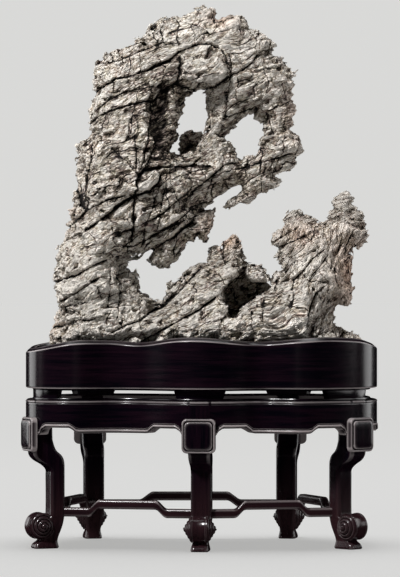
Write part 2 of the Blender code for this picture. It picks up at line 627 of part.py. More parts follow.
def stone_field(pitch):
    """Samples of the stone's body on a regular grid, positive inside."""
    foot = DECK + JOINT_GAP - 2.0 * pitch
    low = np.array((-168.0, -84.0, foot - 2.0 * pitch))
    counts = np.ceil((np.array((182.0, 84.0, 548.0)) - low) / pitch).astype(int) + 1
    xs, ys, zs = (low[i] + pitch * np.arange(counts[i]) for i in range(3))
    x, z = np.meshgrid(xs, zs, indexing="ij")
    d = inside_distance(x, z, STONE_OUTLINE)
    for window in (UPPER_LEFT_WINDOW, UPPER_RIGHT_WINDOW):
        d = np.minimum(d, -inside_distance(x, z, window))
    front, back = depth_plan(x, z)
    thinning = np.clip(1 - d / EDGE_ROUNDING, 0, None) ** EDGE_POWER
    x3, y3, z3 = xs[:, None, None], ys[None, :, None], zs[None, None, :]
    reach = np.where(y3 < 0, front[:, None, :], back[:, None, :])
    rho = (thinning[:, None, :] + (np.abs(y3) / reach) ** EDGE_POWER) ** (1 / EDGE_POWER)
    slope = np.sqrt(sum(g * g for g in np.gradient(rho, pitch)) + 1e-6)
    field = (1 - rho) / slope
    for centre, radii in LUMPS:
        field = smooth_max(field, inside_ellipsoid(x3, y3, z3, centre, radii), BLEND)
    for centre, radii in HOLLOWS:
        field = -smooth_max(-field, inside_ellipsoid(x3, y3, z3, centre, radii), BLEND)
    cave = np.minimum(inside_distance(x, z, CAVE)[:, None, :], CAVE_END - y3)
    field = -smooth_max(-field, cave, BLEND)
    near = np.argwhere(np.abs(field) < 14)
    sturdy = np.clip(np.minimum(front, back) / THIN, 0.35, 1)
    field[tuple(near.T)] += stone_relief(low + near * pitch) * sturdy[near[:, 0], near[:, 2]]
    field = np.minimum(field, inside_tray(xs, ys)[:, :, None] + np.clip((z3 - RIM_TOP) * 3, 0, None))
    return np.minimum(field, z3 - foot), low


def surface_of(field, low, pitch):
    """Vertices and four-sided faces of the surface where the field changes sign."""
    inside = field > 0
    count = 0
    for corner in np.ndindex(2, 2, 2):
        window = tuple(slice(c, size - 1 + c) for c, size in zip(corner, inside.shape))
        count = count + inside[window].astype(int)
    mixed = np.argwhere((count > 0) & (count < 8))
    index = np.full(count.shape, -1)
    index[tuple(mixed.T)] = np.arange(len(mixed))
    unit = np.eye(3, dtype=int)
    total, hits = np.zeros((len(mixed), 3)), np.zeros(len(mixed))
    for axis in range(3):
        u, v = (unit[k] for k in range(3) if k != axis)
        for i, j in np.ndindex(2, 2):
            corner = i * u + j * v
            a = field[tuple((mixed + corner).T)]
            b = field[tuple((mixed + corner + unit[axis]).T)]
            cross = (a > 0) != (b > 0)
            t = np.where(cross, a / np.where(cross, a - b, 1), 0)
            total += cross[:, None] * (corner + t[:, None] * unit[axis])
            hits += cross
    verts = low + pitch * (mixed + total / hits[:, None])
    faces = []
    for axis in range(3):
        u, v = (unit[k] for k in range(3) if k != axis)
        lower, upper = [slice(1, -1)] * 3, [slice(1, -1)] * 3
        lower[axis], upper[axis] = slice(0, -1), slice(1, None)
        a, b = inside[tuple(lower)], inside[tuple(upper)]
        for wanted, leaving in ((a & ~b, True), (~a & b, False)):
            cell = np.argwhere(wanted) + (1 - unit[axis])
            ring = np.stack([index[tuple(c.T)] for c in (cell, cell - u, cell - u - v, cell - v)], 1)
            faces.append(ring if leaving == (axis != 1) else ring[:, ::-1])
    return verts, np.concatenate(faces)


def keep_largest_piece(mesh):
    work = bmesh.new()
    work.from_mesh(mesh)
    unseen = set(work.verts)
    pieces = []
    while unseen:
        edge = [unseen.pop()]
        piece = set(edge)
        while edge:
            for link in edge.pop().link_edges:
                for vert in link.verts:
                    if vert in unseen:
                        unseen.discard(vert)
                        piece.add(vert)
                        edge.append(vert)
        pieces.append(piece)
    pieces.sort(key=len)
    bmesh.ops.delete(work, geom=[v for piece in pieces[:-1] for v in piece], context="VERTS")
    work.to_mesh(mesh)
    work.free()


def make_stone():
    field, low = stone_field(STONE_PITCH)
    verts, faces = surface_of(field, low, STONE_PITCH)
    stone = add_object("rock", verts, faces.tolist(), STONE, STONE_ROUGHNESS)
    keep_largest_piece(stone.data)
    turn_outwards(stone.data)
    even = stone.modifiers.new("Even", "REMESH")
    even.mode = "VOXEL"
    even.voxel_size = STONE_PITCH * GRID * 0.8
    even.use_smooth_shade = True
    fewer = stone.modifiers.new("Fewer", "DECIMATE")
    fewer.ratio = STONE_SHARE_KEPT
    verts, faces = box(-250, 250, -150, 150, DECK - 30, DECK + JOINT_GAP)
    seat = add_object("guide_seat", verts, faces, STONE, STONE_ROUGHNESS, guide=True)
    add_boolean(stone, seat, "DIFFERENCE")


clear_scene()
make_stand()
make_stone()
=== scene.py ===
"""The scholar's rock and its stand, with their finished surfaces, on a pale studio floor."""

import math

import bmesh
import bpy
import numpy as np
from mathutils import Matrix, Vector


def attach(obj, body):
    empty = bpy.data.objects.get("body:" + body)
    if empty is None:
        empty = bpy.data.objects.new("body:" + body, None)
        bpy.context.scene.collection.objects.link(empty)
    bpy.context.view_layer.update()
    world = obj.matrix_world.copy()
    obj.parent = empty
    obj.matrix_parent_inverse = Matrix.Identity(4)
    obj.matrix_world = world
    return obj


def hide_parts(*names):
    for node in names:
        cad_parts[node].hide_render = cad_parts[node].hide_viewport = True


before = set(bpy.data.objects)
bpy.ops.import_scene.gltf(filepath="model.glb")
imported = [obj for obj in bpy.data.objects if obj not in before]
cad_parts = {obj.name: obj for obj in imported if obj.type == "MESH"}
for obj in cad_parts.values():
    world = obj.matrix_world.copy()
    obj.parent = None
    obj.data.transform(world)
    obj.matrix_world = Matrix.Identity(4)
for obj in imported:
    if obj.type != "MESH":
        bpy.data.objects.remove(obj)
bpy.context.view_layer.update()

# ---------------------------------------------------------------- the drawing grid
GRID = 0.617 / 536.5              # one grid unit in metres
PLAN_CENTRE = (-1.5, 1.2, 0.0)    # the grid point at the model's origin
JOINT_GAP = 0.0003 / GRID
BODY = "root"

# ---------------------------------------------------------------- the stand
APRON_TOP = 146.0
WAIST_TOP = 157.5
DECK = 188.0
RIM_TOP = 209.0
RIM_BEVEL = (4.0, 3.0)
TRAY_WALL = 12.0
TRAY_RINGS = 260
WALL_CLEARANCE = 3.0              # between the tray's wall and the stone
WAIST_INSET = 7.0
WAIST_THICKNESS = 10.0
WAIST_RAILS = (2.0, 1.5)          # heights of the lower and the upper rail
WAIST_BEADS = (0.35, 0.25)        # how far the rails' beads stand out
WAIST_RINGS = 220
POST_FLARE = 3.0                  # a post is this much narrower on both sides at its foot
POST_RINGS = 24
APRON_THICKNESS = 12.0
# The apron's lower edge: distance from the middle of the leg, height.
APRON_EDGE = (
    (0, 112), (17, 112.5), (19.5, 117), (24, 119.7), (49, 119.7), (52, 118), (56, 115), (59, 114.5),
)
APRON_EDGE_EASE = 0.8
APRON_STEPPED = (64.0, 60)        # the stepped stretch at each end: length, number of rings
APRON_PITCH = 2.5                 # between rings in the plain middle
# Beads of the apron: outwards, and distance from its top or its lower edge.
APRON_TOP_BEAD = (
    (-1.4, 0), (-0.5, 0.2), (0.1, 0.8), (0.25, 1.4), (0.1, 2.0), (-0.3, 2.5), (0, 3.2), (0, 3.8),
)
APRON_LOW_BEAD = (
    (0, 5.2), (0, 4.6), (-0.55, 4.2), (-0.55, 3.8), (0.1, 3.6), (0.75, 3.1), (1.0, 2.4), (0.75, 1.7),
    (0.1, 1.2), (-0.7, 1.0), (-0.9, 0.3), (-1.4, 0),
)
BLOCK_WIDTH = 22.0
BLOCK_BOTTOM = 105.0
PAD_CENTRE_Z = 112.7
PAD_SIZE = (33.0, 33.5)
PAD_CORNER = 5.0
# Section of the knee pad from its edge to its middle: inset, outwards.
PAD_PROFILE = (
    (0, -2), (0, 2.3), (0.15, 3.0), (0.6, 3.6), (1.2, 3.8), (1.8, 3.6), (2.2, 3.0), (2.4, 2.4),
    (3.0, 2.4), (3.1, 4.3), (3.4, 5.0), (4.1, 5.4), (6.0, 5.7), (9.0, 5.9), (12.5, 6.0),
)
SCROLL_CENTRE = (-10.2, 22.0)
SCROLL_RADIUS = 13.0
SCROLL_HALF = (7.6, 16.0)         # half length at the rim and at the hub
SCROLL_HUB = 0.35                 # radius of the hub
SCROLL_RIM = ((5.0, 12.8), (5.6, 13.0), (6.4, 13.3), (7.2, 13.15))    # half length, radius
SCROLL_PITCH = 3.3                # between two turns of the spiral
SCROLL_GROOVE = (0.13, 1.5)       # half width as a share of the pitch, depth
SCROLL_CROWN = 0.9                # how far a turn bulges between its grooves
SCROLL_POINTS = 56
SCROLL_RINGS = 34
STRETCHER_BOTTOM = 31.2
STRETCHER_SECTION = (9.0, 9.0)
STRETCHER_CORNER = 2.4
STRETCHER_INSET = 6.5             # from the middle of a leg to the end of the rail inside it
STRETCHER_RINGS = 120
HUMP_RISE = 8.0
HUMP_SPAN = (0.2, 0.255)          # where the hump starts to fall and ends, as shares of the span
HUMP_EASE = 0.8
# The stand's outline: x, y, and the height of the rim.
PLAN = (
    (-174, -12, 193), (-173, -34, 194), (-168, -54, 194.5), (-154, -71, 197), (-124, -80, 202),
    (-90, -71, 202.2), (-60, -78, 200.3), (-28, -99, 204.6), (-2, -106, 205.3), (27, -100, 203.1),
    (57, -87, 201), (96, -98, 204), (126, -88, 205.4), (155.5, -68, 204), (170.5, -42, 200),
    (175.5, -8, 197), (171, 36, 199), (152, 68, 203), (126, 93, 205), (93, 107.5, 203),
    (58, 101, 200), (20, 92, 202), (-30, 94, 205), (-76, 107, 203), (-114, 107.5, 200),
    (-152, 78, 199), (-172, 30, 196),
)
# Legs: name, place, facing in degrees, and the reach of the waist's post before and after it.
LEGS = (
    ("front_left", (-168.3, -54.0), -69.0, (28, 36)),
    ("front", (-2.3, -106.0), -6.5, (29, 29)),
    ("front_right", (155.7, -68.0), 45.0, (36, 28)),
    ("back_right", (92.2, 107.6), 170.0, (29, 29)),
    ("back_left", (-114.3, 107.6), -170.0, (29, 29)),
)
SHANK = (-18.4, -33.4)            # outer and inner face of the straight stretch
# Leg, from the top down: height, outer face, inner face, width.
LEG_STATIONS = (
    (145.7, -2.5, -20, BLOCK_WIDTH), (112, -1.5, -20.5, BLOCK_WIDTH),
    (BLOCK_BOTTOM, -0.5, -21.2, BLOCK_WIDTH), (97, -0.3, -24.3, 22), (91.7, -1.2, -30, 21.5),
    (87, -5.3, -32.6, 21), (82.4, -13, -33.3, 20.5), (77.5, -18, -33.4, 20.5), (70, *SHANK, 20.5),
    (36, *SHANK, 20.5), (30, -16.4, -32.9, 20.2), (22, -13, -31.4, 18.5), (12, -9.5, -28, 15.5),
    (8, -8.4, -27, 15), (4.6, -4.2, -27.2, 16.5), (1.5, -2.8, -27.9, 17.5), (0, -3.6, -26.9, 16.5),
)
LEG_CORNER = 3.5
SIDES = ("front_left", "front_right", "right", "back", "left")
FLAT_LEAD = 0.5                   # a flat face keeps a row of points this far from its rounded corners
WOOD_SHARP = 40.0
EDGE_GAIN = 7.0
# How much the edges are rubbed and carry painted highlight, by height: (z, share) pairs, and on the whole
# piece.
LEG_RUBBING_AND_HIGHLIGHT = ((0, 0.6), (82, 0.45), (84, 1), (97, 1), (105, 0))
APRON_RUBBING_AND_HIGHLIGHT = ((APRON_TOP - 4.5, 1), (APRON_TOP - 4, 0.8))
KNEE_RUBBING_AND_HIGHLIGHT = 0.93
WAIST_RUBBING_AND_HIGHLIGHT = 0.12


def new_object(name, data):
    ob = bpy.data.objects.new(name, data)
    bpy.context.scene.collection.objects.link(ob)
    return ob


def add_piece(replaces, shape, material, rubbing_and_highlight=1.0):
    """A piece of the stand, from grid coordinates, in place of a CAD node."""
    verts, faces = shape
    mesh = bpy.data.meshes.new(replaces + "_fine")
    mesh.from_pydata(((np.array(verts, float) - PLAN_CENTRE) * GRID).tolist(), [], faces)
    mesh.update()
    turn_outwards(mesh)
    mesh.shade_smooth()
    mesh.set_sharp_from_angle(angle=math.radians(WOOD_SHARP))
    mark_edges(mesh, rubbing_and_highlight)
    mesh.materials.append(material)
    piece = new_object(replaces + "_fine", mesh)
    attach(piece, BODY)
    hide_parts(replaces)


def mark_edges(mesh, rubbing_and_highlight):
    """Keeps on the mesh how strongly each vertex stands out from its neighbours, for rubbed edges and the
    painted highlights along them.
    """
    place, normal, edges = mesh_arrays(mesh)
    a, b = edges[:, 0], edges[:, 1]
    along = place[b] - place[a]
    along /= np.linalg.norm(along, axis=1)[:, None] + 1e-12
    bend = np.zeros(len(place))
    np.add.at(bend, a, -(along * normal[a]).sum(axis=1))
    np.add.at(bend, b, (along * normal[b]).sum(axis=1))
    count = np.bincount(edges.ravel(), minlength=len(place))
    store(mesh, "edge", rubbing_and_highlight * np.clip(EDGE_GAIN * bend / np.maximum(count, 1), 0, 1))


def rubbing_and_highlight_by_height(shape, table):
    """A share of edge rubbing and painted highlight for each point of a shape."""
    return np.interp([point[2] for point in shape[0]], *zip(*table))


def rubbing_and_highlight_of_board(shape):
    """Rubbing and painted highlight along the beads of an apron board, without its sawn ends."""
    share = rubbing_and_highlight_by_height(shape, APRON_RUBBING_AND_HIGHLIGHT)
    ring = len(apron_section(0))
    share[:ring] = share[-ring:] = 0
    return share


def mesh_arrays(mesh):
    place = np.empty(len(mesh.vertices) * 3, np.float32)
    mesh.vertices.foreach_get("co", place)
    normal = np.empty_like(place)
    mesh.vertices.foreach_get("normal", normal)
    edges = np.empty(len(mesh.edges) * 2, np.int32)
    mesh.edges.foreach_get("vertices", edges)
    return place.reshape(-1, 3).astype(float), normal.reshape(-1, 3).astype(float), edges.reshape(-1, 2)


def store(mesh, name, values):
    kind = "FLOAT_VECTOR" if values.ndim == 2 else "FLOAT"
    attribute = mesh.attributes.new(name, kind, "POINT")
    attribute.data.foreach_set("vector" if values.ndim == 2 else "value", values.astype(np.float32).ravel())


def turn_outwards(mesh):
    work = bmesh.new()
    work.from_mesh(mesh)
    bmesh.ops.recalc_face_normals(work, faces=work.faces)
    work.to_mesh(mesh)
    work.free()


def gathered(shapes):
    """Several closed shells as one list of vertices and faces."""
    verts, faces = [], []
    for more_verts, more_faces in shapes:
        base = len(verts)
        verts += list(more_verts)
        faces += [tuple(base + i for i in face) for face in more_faces]
    return verts, faces


def joined_rings(rings, closed=False):
    """A tube through rings of points: both its ends are covered, or its last ring meets its first."""
    size, count = len(rings[0]), len(rings)
    faces = []
    for i in range(count if closed else count - 1):
        a, b = i * size, (i + 1) % count * size
        for k in range(size):
            m = (k + 1) % size
            faces.append((a + k, a + m, b + m, b + k))
    if not closed:
        faces += [tuple(reversed(range(size))), tuple(range((count - 1) * size, count * size))]
    return [point for ring in rings for point in ring], faces


def between(a, b, c, d, t):
    """The point at share t of the way from b to c, on a smooth curve through all four."""
    return 0.5 * (2 * b + (c - a) * t + (2 * a - 5 * b + 4 * c - d) * t * t
                  + (3 * b - a - 3 * c + d) * t ** 3)


class Plan:
    """The stand's closed, lobed outline, read by the distance along it."""

    PER_SPAN = 24                 # rows from one given point to the next
    REACH = 2.5                   # the direction is read between points this far ahead and behind

    def __init__(self, points):
        p = np.array(points, float)
        rows = []
        for i in range(len(p)):
            four = p[np.arange(i - 1, i + 3) % len(p)]
            rows += [between(*four, k / self.PER_SPAN) for k in range(self.PER_SPAN)]
        self.rows = np.array(rows + [rows[0]])
        step = np.linalg.norm(np.diff(self.rows[:, :2], axis=0), axis=1)
        self.s = np.concatenate(((0,), np.cumsum(step)))
        self.length = self.s[-1]

    def row(self, s):
        return np.array([np.interp(np.mod(s, self.length), self.s, column) for column in self.rows.T])

    def at(self, s):
        """The point, the direction outwards and the height of the rim at a distance."""
        x, y, rim = self.row(s)
        tx, ty, _ = self.row(s + self.REACH) - self.row(s - self.REACH)
        size = math.hypot(tx, ty)
        return Vector((x, y)), Vector((ty / size, -tx / size)), rim

    def nearest(self, point):
        d = np.hypot(self.rows[:, 0] - point[0], self.rows[:, 1] - point[1])
        return self.s[int(np.argmin(d))]

    def ring(self, s, section):
        """A section of outward distances and heights, stood across the outline."""
        place, normal, _ = self.at(s)
        return [(place.x + normal.x * o, place.y + normal.y * o, z) for o, z in section]


plan = Plan(PLAN)


def leg_frames():
    frames = []
    for name, point, facing, post in LEGS:
        angle = math.radians(facing)
        outwards = Vector((math.sin(angle), -math.cos(angle), 0))
        along = Vector((math.cos(angle), math.sin(angle), 0))
        matrix = Matrix((outwards, along, Vector((0, 0, 1)))).transposed().to_4x4()
        matrix.translation = Vector((*point, 0))
        frames.append((name, plan.nearest(point), matrix, post))
    return frames


def placed(matrix, shape):
    verts, faces = shape
    return [tuple(matrix @ Vector(v)) for v in verts], faces


def rounded_rectangle(x0, x1, y0, y1, corner, steps=5):
    points = []
    for cx, cy, start in ((x1 - corner, y1 - corner, 0), (x0 + corner, y1 - corner, 90),
                          (x0 + corner, y0 + corner, 180), (x1 - corner, y0 + corner, 270)):
        turns = [math.radians(start + 90 * k / steps) for k in range(steps + 1)]
        arc = [(cx + corner * math.cos(a), cy + corner * math.sin(a)) for a in turns]
        ends = []
        for (x, y), a, way in ((arc[0], turns[0], 1), (arc[-1], turns[-1], -1)):
            ends.append((x + way * FLAT_LEAD * math.sin(a), y - way * FLAT_LEAD * math.cos(a)))
        points += [ends[0], *arc, ends[1]]
    return points


def smooth_rows(rows, per_span):
    """The rows with smooth rows between them."""
    p = np.array((rows[0], *rows, rows[-1]), float)
    out = []
    for i in range(len(rows) - 1):
        out += [between(*p[i:i + 4], k / per_span) for k in range(per_span)]
    return out + [p[-1]]


def leg_body():
    rings = []
    for z, outer, inner, width in smooth_rows(LEG_STATIONS, 5):
        section = rounded_rectangle(inner, outer, -width / 2, width / 2, LEG_CORNER)
        rings.append([(s, t, z) for s, t in section])
    return joined_rings(rings)


def pad():
    """Knee pad: a plate with a raised bead round its edge and a slightly cushioned panel."""
    rings = []
    for inset, s in PAD_PROFILE:
        w, h = (size / 2 - inset for size in PAD_SIZE)
        corner = max(PAD_CORNER - inset * 0.75, min(w, h) * 0.3, 0.6)
        rings.append([(s, t, PAD_CENTRE_Z + z) for t, z in rounded_rectangle(-w, w, -h, h, corner)])
    return joined_rings(rings)


def circle(r, y=0.0):
    """A ring of the scroll."""
    x, z = SCROLL_CENTRE
    turns = [2 * math.pi * k / SCROLL_POINTS for k in range(SCROLL_POINTS)]
    return [(x + r * math.cos(a), y, z + r * math.sin(a)) for a in turns]


def scroll_end(sign):
    """One end of the scroll, from its rim to its hub, which stands out and winds in a spiral."""
    at_rim, at_hub = SCROLL_HALF
    width, depth = SCROLL_GROOVE
    rings = []
    for i in range(SCROLL_RINGS + 1):
        r = SCROLL_RADIUS * (1 - i / SCROLL_RINGS) + SCROLL_HUB
        inwards = SCROLL_RADIUS - r
        cone = at_rim + (at_hub - at_rim) * max(0.0, inwards / SCROLL_RADIUS) ** 0.9
        ring = []
        for k, (x, _, z) in enumerate(circle(r)):
            turn = (inwards / SCROLL_PITCH + sign * k / SCROLL_POINTS) % 1
            groove = min(depth, inwards) * math.exp(-(min(turn, 1 - turn) / width) ** 2)
            ring.append((x, sign * (cone + SCROLL_CROWN * math.sin(math.pi * turn) - groove), z))
        rings.append(ring)
    return rings


def volute():
    """Rolled foot: a drum between two spiral ends."""
    drum = [circle(r, -y) for y, r in reversed(SCROLL_RIM)] + [circle(r, y) for y, r in SCROLL_RIM]
    return joined_rings(scroll_end(-1)[::-1] + drum + scroll_end(1))


def apron_low(d):
    """Height of the apron's lower edge at a distance from the leg's middle, its corners eased."""
    return np.interp([d - APRON_EDGE_EASE, d, d + APRON_EDGE_EASE], *zip(*APRON_EDGE)).mean()


def apron_section(low):
    """Board with a fine bead along its top edge and a bolder one above its lower edge."""
    face = [(o, APRON_TOP - z) for o, z in APRON_TOP_BEAD] + [(o, low + z) for o, z in APRON_LOW_BEAD]
    return [(-APRON_THICKNESS, APRON_TOP), *face, (-APRON_THICKNESS, low)]


def apron(start, end):
    length = (end - start) % plan.length
    reach, count = APRON_STEPPED
    stepped = list(np.linspace(BLOCK_WIDTH / 2 + JOINT_GAP, reach, count))
    plain = list(np.linspace(reach, length - reach, max(4, int((length - 2 * reach) / APRON_PITCH))))[1:-1]
    rings = []
    for d in stepped + plain + [length - d for d in reversed(stepped)]:
        rings.append(plan.ring(start + d, apron_section(apron_low(min(d, length - d)))))
    return joined_rings(rings)


def leg_front(s):
    """The apron's face and its top bead carried across the head of a leg."""
    half = BLOCK_WIDTH / 2
    return joined_rings([plan.ring(s + d, apron_section(BLOCK_BOTTOM)) for d in np.linspace(-half, half, 10)])


def waist(legs):
    """Recessed ring: a lower and an upper beaded rail, and a flared post behind every leg."""
    z0, z1 = APRON_TOP + JOINT_GAP, WAIST_TOP
    outer, inner = -WAIST_INSET, -WAIST_INSET - WAIST_THICKNESS
    low, high = z0 + WAIST_RAILS[0], z1 - WAIST_RAILS[1]
    shapes = []
    for a, b, bead in ((z0, low, WAIST_BEADS[0]), (high, z1, WAIST_BEADS[1])):
        middle = (a + b) / 2
        section = ((outer, a), (outer + bead, middle - 0.3), (outer + bead, middle + 0.3), (outer, b),
                   (inner, b), (inner, a))
        rings = [plan.ring(plan.length * k / WAIST_RINGS, section) for k in range(WAIST_RINGS)]
        shapes.append(joined_rings(rings, closed=True))
    foot = ((inner + 0.4, low - 0.5), (outer - 0.4, low - 0.5), (outer - 0.15, low + 0.6))
    head = ((outer - 0.15, high - 0.6), (outer - 0.4, high + 0.5), (inner + 0.4, high + 0.5))
    for _, s, _, (before, after) in legs:
        lower = np.linspace(s - before + POST_FLARE, s + after - POST_FLARE, POST_RINGS)
        upper = np.linspace(s - before, s + after, POST_RINGS)
        shapes.append(joined_rings([plan.ring(a, foot) + plan.ring(b, head) for a, b in zip(lower, upper)]))
    return gathered(shapes)


def tray():
    """Wall with a rounded foot and a bevelled rim that rises and falls, and the deck inside it."""
    foot = WAIST_TOP + JOINT_GAP
    bevel = -RIM_BEVEL[0]
    rings = []
    for k in range(TRAY_RINGS):
        s = plan.length * k / TRAY_RINGS
        rim = plan.at(s)[2]
        top = rim + RIM_BEVEL[1]
        rings.append(plan.ring(s, (
            (-1.6, foot), (-0.7, foot + 0.2), (-0.15, foot + 0.8), (0, foot + 1.6), (0, foot + 2.2),
            (0, rim - 2.2), (0, rim - 1.6), (-0.05, rim - 0.8), (-0.5, rim - 0.1), (-1.3, rim + 0.5),
            (bevel + 0.4, top - 0.5), (bevel - 0.6, top - 0.1), (bevel - 1.6, top), (bevel - 4.2, top),
            (bevel - 4.9, top - 0.3), (bevel - 5.2, top - 1), (-TRAY_WALL + 0.2, DECK + 2),
            (-TRAY_WALL - 0.6, DECK + 0.6), (-TRAY_WALL - 2, DECK))))
    size = len(rings[0])
    faces = []
    for i in range(TRAY_RINGS):
        a, b = i * size, (i + 1) % TRAY_RINGS * size
        faces += [(a + k, b + k, b + k + 1, a + k + 1) for k in range(size - 1)]
    starts = range(0, TRAY_RINGS * size, size)
    faces += [tuple(reversed(starts)), tuple(start + size - 1 for start in starts)]
    return [point for ring in rings for point in ring], faces


def stretcher(start, end):
    """Humpback rail between the middles of two legs, its bends eased."""
    span = (end - start).length
    along = (end - start).normalized()
    side = Vector((-along.y, along.x))
    width, height = STRETCHER_SECTION
    section = rounded_rectangle(-width / 2, width / 2, 0, height, STRETCHER_CORNER, steps=4)
    limit = 0.5 - STRETCHER_INSET / span
    rings = []
    for share in np.linspace(-limit, limit, STRETCHER_RINGS):
        eased = [abs(share) + k * HUMP_EASE / span for k in (-2, -1, 0, 1, 2)]
        bottom = STRETCHER_BOTTOM + HUMP_RISE * np.interp(eased, HUMP_SPAN, (1, 0)).mean()
        x, y = start + along * span * (share + 0.5)
        rings.append([(x + side.x * t, y + side.y * t, bottom + z) for t, z in section])
    return joined_rings(rings)


def make_stand(level, upright):
    legs = leg_frames()
    centres = []
    for name, s, matrix, _ in legs:
        body, knee, foot = (placed(matrix, shape) for shape in (leg_body(), pad(), volute()))
        front = leg_front(s)
        # Share of rubbing and painted highlight on the edges of each point.
        rubbing_and_highlight = np.concatenate((rubbing_and_highlight_by_height(body, LEG_RUBBING_AND_HIGHLIGHT), np.full(len(knee[0]), KNEE_RUBBING_AND_HIGHLIGHT),
                               rubbing_and_highlight_by_height(foot, LEG_RUBBING_AND_HIGHLIGHT), rubbing_and_highlight_of_board(front)))
        add_piece("leg_" + name, gathered((body, knee, foot, front)), upright, rubbing_and_highlight)
        centres.append((matrix @ Vector((sum(SHANK) / 2, 0, 0))).to_2d())
    for i, side in enumerate(SIDES):
        j = (i + 1) % len(legs)
        board = apron(legs[i][1], legs[j][1])
        add_piece("apron_" + side, board, level, rubbing_and_highlight_of_board(board))
        add_piece("stretcher_" + side, stretcher(centres[i], centres[j]), level)
    add_piece("waist", waist(legs), level, WAIST_RUBBING_AND_HIGHLIGHT)
    add_piece("tray", tray(), level)


# ---------------------------------------------------------------- the stone
# Outline seen from the front, clockwise from the lower left corner: x, z.
STONE_OUTLINE = (
    (-146, 188), (-149, 201), (-150, 213), (-143, 222), (-142, 230), (-142, 244), (-145, 256),
    (-142, 273), (-143, 284), (-143, 291), (-135, 306), (-129, 316), (-131, 320), (-126, 324),
    (-127, 352), (-123, 355), (-124, 398), (-111, 408), (-111, 437), (-105, 455), (-105, 465),
    (-104, 481), (-96, 482), (-93, 489), (-84, 494), (-73, 500), (-62, 505), (-59, 501),
    (-53, 513), (-40, 523), (-25, 528), (-4, 536), (5, 538.5), (14, 535), (18, 525), (24, 527),
    (35, 527), (42, 522), (46, 514), (58, 511), (65, 509), (75, 503), (75, 499), (69, 493),
    (72, 488), (80, 485), (86, 477), (93, 472), (92, 462), (88, 452), (92, 440), (92, 430),
    (91, 415), (97, 407), (99, 394), (95, 387), (89, 383), (87, 376), (73, 371), (72, 367),
    (77, 362), (74, 357), (62, 352), (56, 351), (52, 343), (47, 339), (39, 341), (29, 334),
    (19, 335), (27, 344), (35, 348), (41, 354), (40, 359), (29, 357), (14, 346), (0, 334),
    (15, 334), (13, 325), (8, 312), (2, 305), (-4, 311), (-14, 303), (-20, 292), (-28, 279),
    (-35, 275), (-46, 281), (-52, 288), (-48, 291), (-50, 296), (-62, 293), (-77, 283),
    (-75, 276), (-71, 269), (-65, 271), (-65, 257), (-60, 253), (-54, 246), (-47, 241),
    (-38, 244), (-34, 258), (-21, 270), (-9, 279), (-3, 279), (6, 282), (11, 292), (17, 294),
    (23, 293), (25, 302), (34, 313), (38, 308), (41, 294), (43, 280), (51, 280), (59, 278),
    (61, 272), (71, 262), (75, 268), (83, 273), (80, 287), (79, 297), (73, 302), (73, 309),
    (85, 316), (85, 326), (89, 333), (100, 331), (113, 325), (123, 322), (131, 329), (134, 336),
    (134, 344), (140, 349), (149, 347), (152, 336), (161, 326), (165, 317), (163, 304),
    (157, 299), (150, 300), (148, 293), (149, 262), (151, 254), (146, 243), (134, 241),
    (131, 231), (134, 219), (141, 212), (153, 212), (162, 206), (160, 188),
)
# Openings of the stone, seen from the front: x, z.
UPPER_LEFT_WINDOW = (
    (1, 457), (4, 450), (7, 442), (6, 432), (8, 428), (5, 416), (2, 400), (-2, 390), (-15, 389),
    (-32, 391), (-32, 401), (-27, 411), (-25, 422), (-22, 430), (-20, 441), (-16, 449), (-7, 450),
    (-2, 456),
)
UPPER_RIGHT_WINDOW = (
    (55, 434), (46, 430), (37, 424), (27, 413), (20, 409), (28, 401), (35, 391), (40, 384),
    (46, 389), (52, 389), (59, 398), (59, 403), (63, 411), (64, 426), (60, 423), (55, 425),
)
CAVE = (
    (43, 277), (48, 265), (71, 263), (73, 254), (61, 247), (48, 238), (36, 225), (28, 226), (20, 240),
    (19, 256), (27, 264),
)
CAVE_END = 22.0                   # the cave runs back from the front to this y
# How far the stone reaches to the front and to the back of y = 0: x, z, front, back.
STONE_DEPTHS = (
    (5, 520, 24, 24), (-60, 500, 30, 28), (-95, 455, 34, 32), (-95, 420, 40, 36), (-60, 400, 50, 42),
    (-100, 350, 48, 42), (-35, 350, 48, 40), (5, 470, 46, 30), (50, 495, 34, 34), (75, 460, 32, 34),
    (82, 415, 28, 30), (78, 380, 27, 27), (45, 348, 13, 16), (17, 425, 26, 24), (12, 372, 38, 30),
    (-3, 318, 30, 26), (-38, 288, 24, 28), (-112, 305, 50, 50), (-118, 240, 62, 60),
    (-40, 222, 62, 60), (20, 278, 36, 40), (40, 212, 62, 60), (100, 230, 56, 56), (115, 280, 44, 46),
    (92, 322, 24, 30), (150, 325, 26, 26), (150, 210, 38, 40), (56, 272, 30, 44),
)
DEPTH_REACH = 26.0                # how far each of those depths is felt
EDGE_ROUNDING = 34.0              # the stone thins towards its outline over this distance
EDGE_POWER = 1.75
BLEND = 3.0                       # softness with which lumps and hollows join the body
# Lumps and hollows: centre, radii.
LUMPS = (
    ((-10, 26, 403), (8, 9, 9)),        # rough lump behind the upper left window
    ((1, 24, 406), (9, 9, 6)),
    ((-3, 27, 395), (13, 10, 6)),
    ((-14, 23, 395), (6, 7, 5)),
    ((4, 30, 398), (6, 8, 9)),
    ((6, -40, 472), (24, 10, 12)),      # slab that overhangs the upper left window
    ((-55, -50, 357), (8, 9, 8)),       # lens-shaped boulder in the body
    ((-51, -51, 361), (8, 9, 8)),
    ((-47, -50, 365), (8, 9, 8)),
    ((-60, 0, 497), (9, 14, 7)),        # shoulder at the top left
    ((-112, -58, 256), (22, 10, 9)),    # wedge low on the left
)
HOLLOWS = (
    ((-37, -54, 424), (18, 38, 45)),    # channel beside the upper left window
    ((-60, 60, 330), (40, 26, 22)),     # four hollows at the back
    ((60, 62, 235), (34, 24, 20)),
    ((-96, 58, 236), (22, 20, 18)),
    ((60, 50, 466), (22, 18, 14)),
)
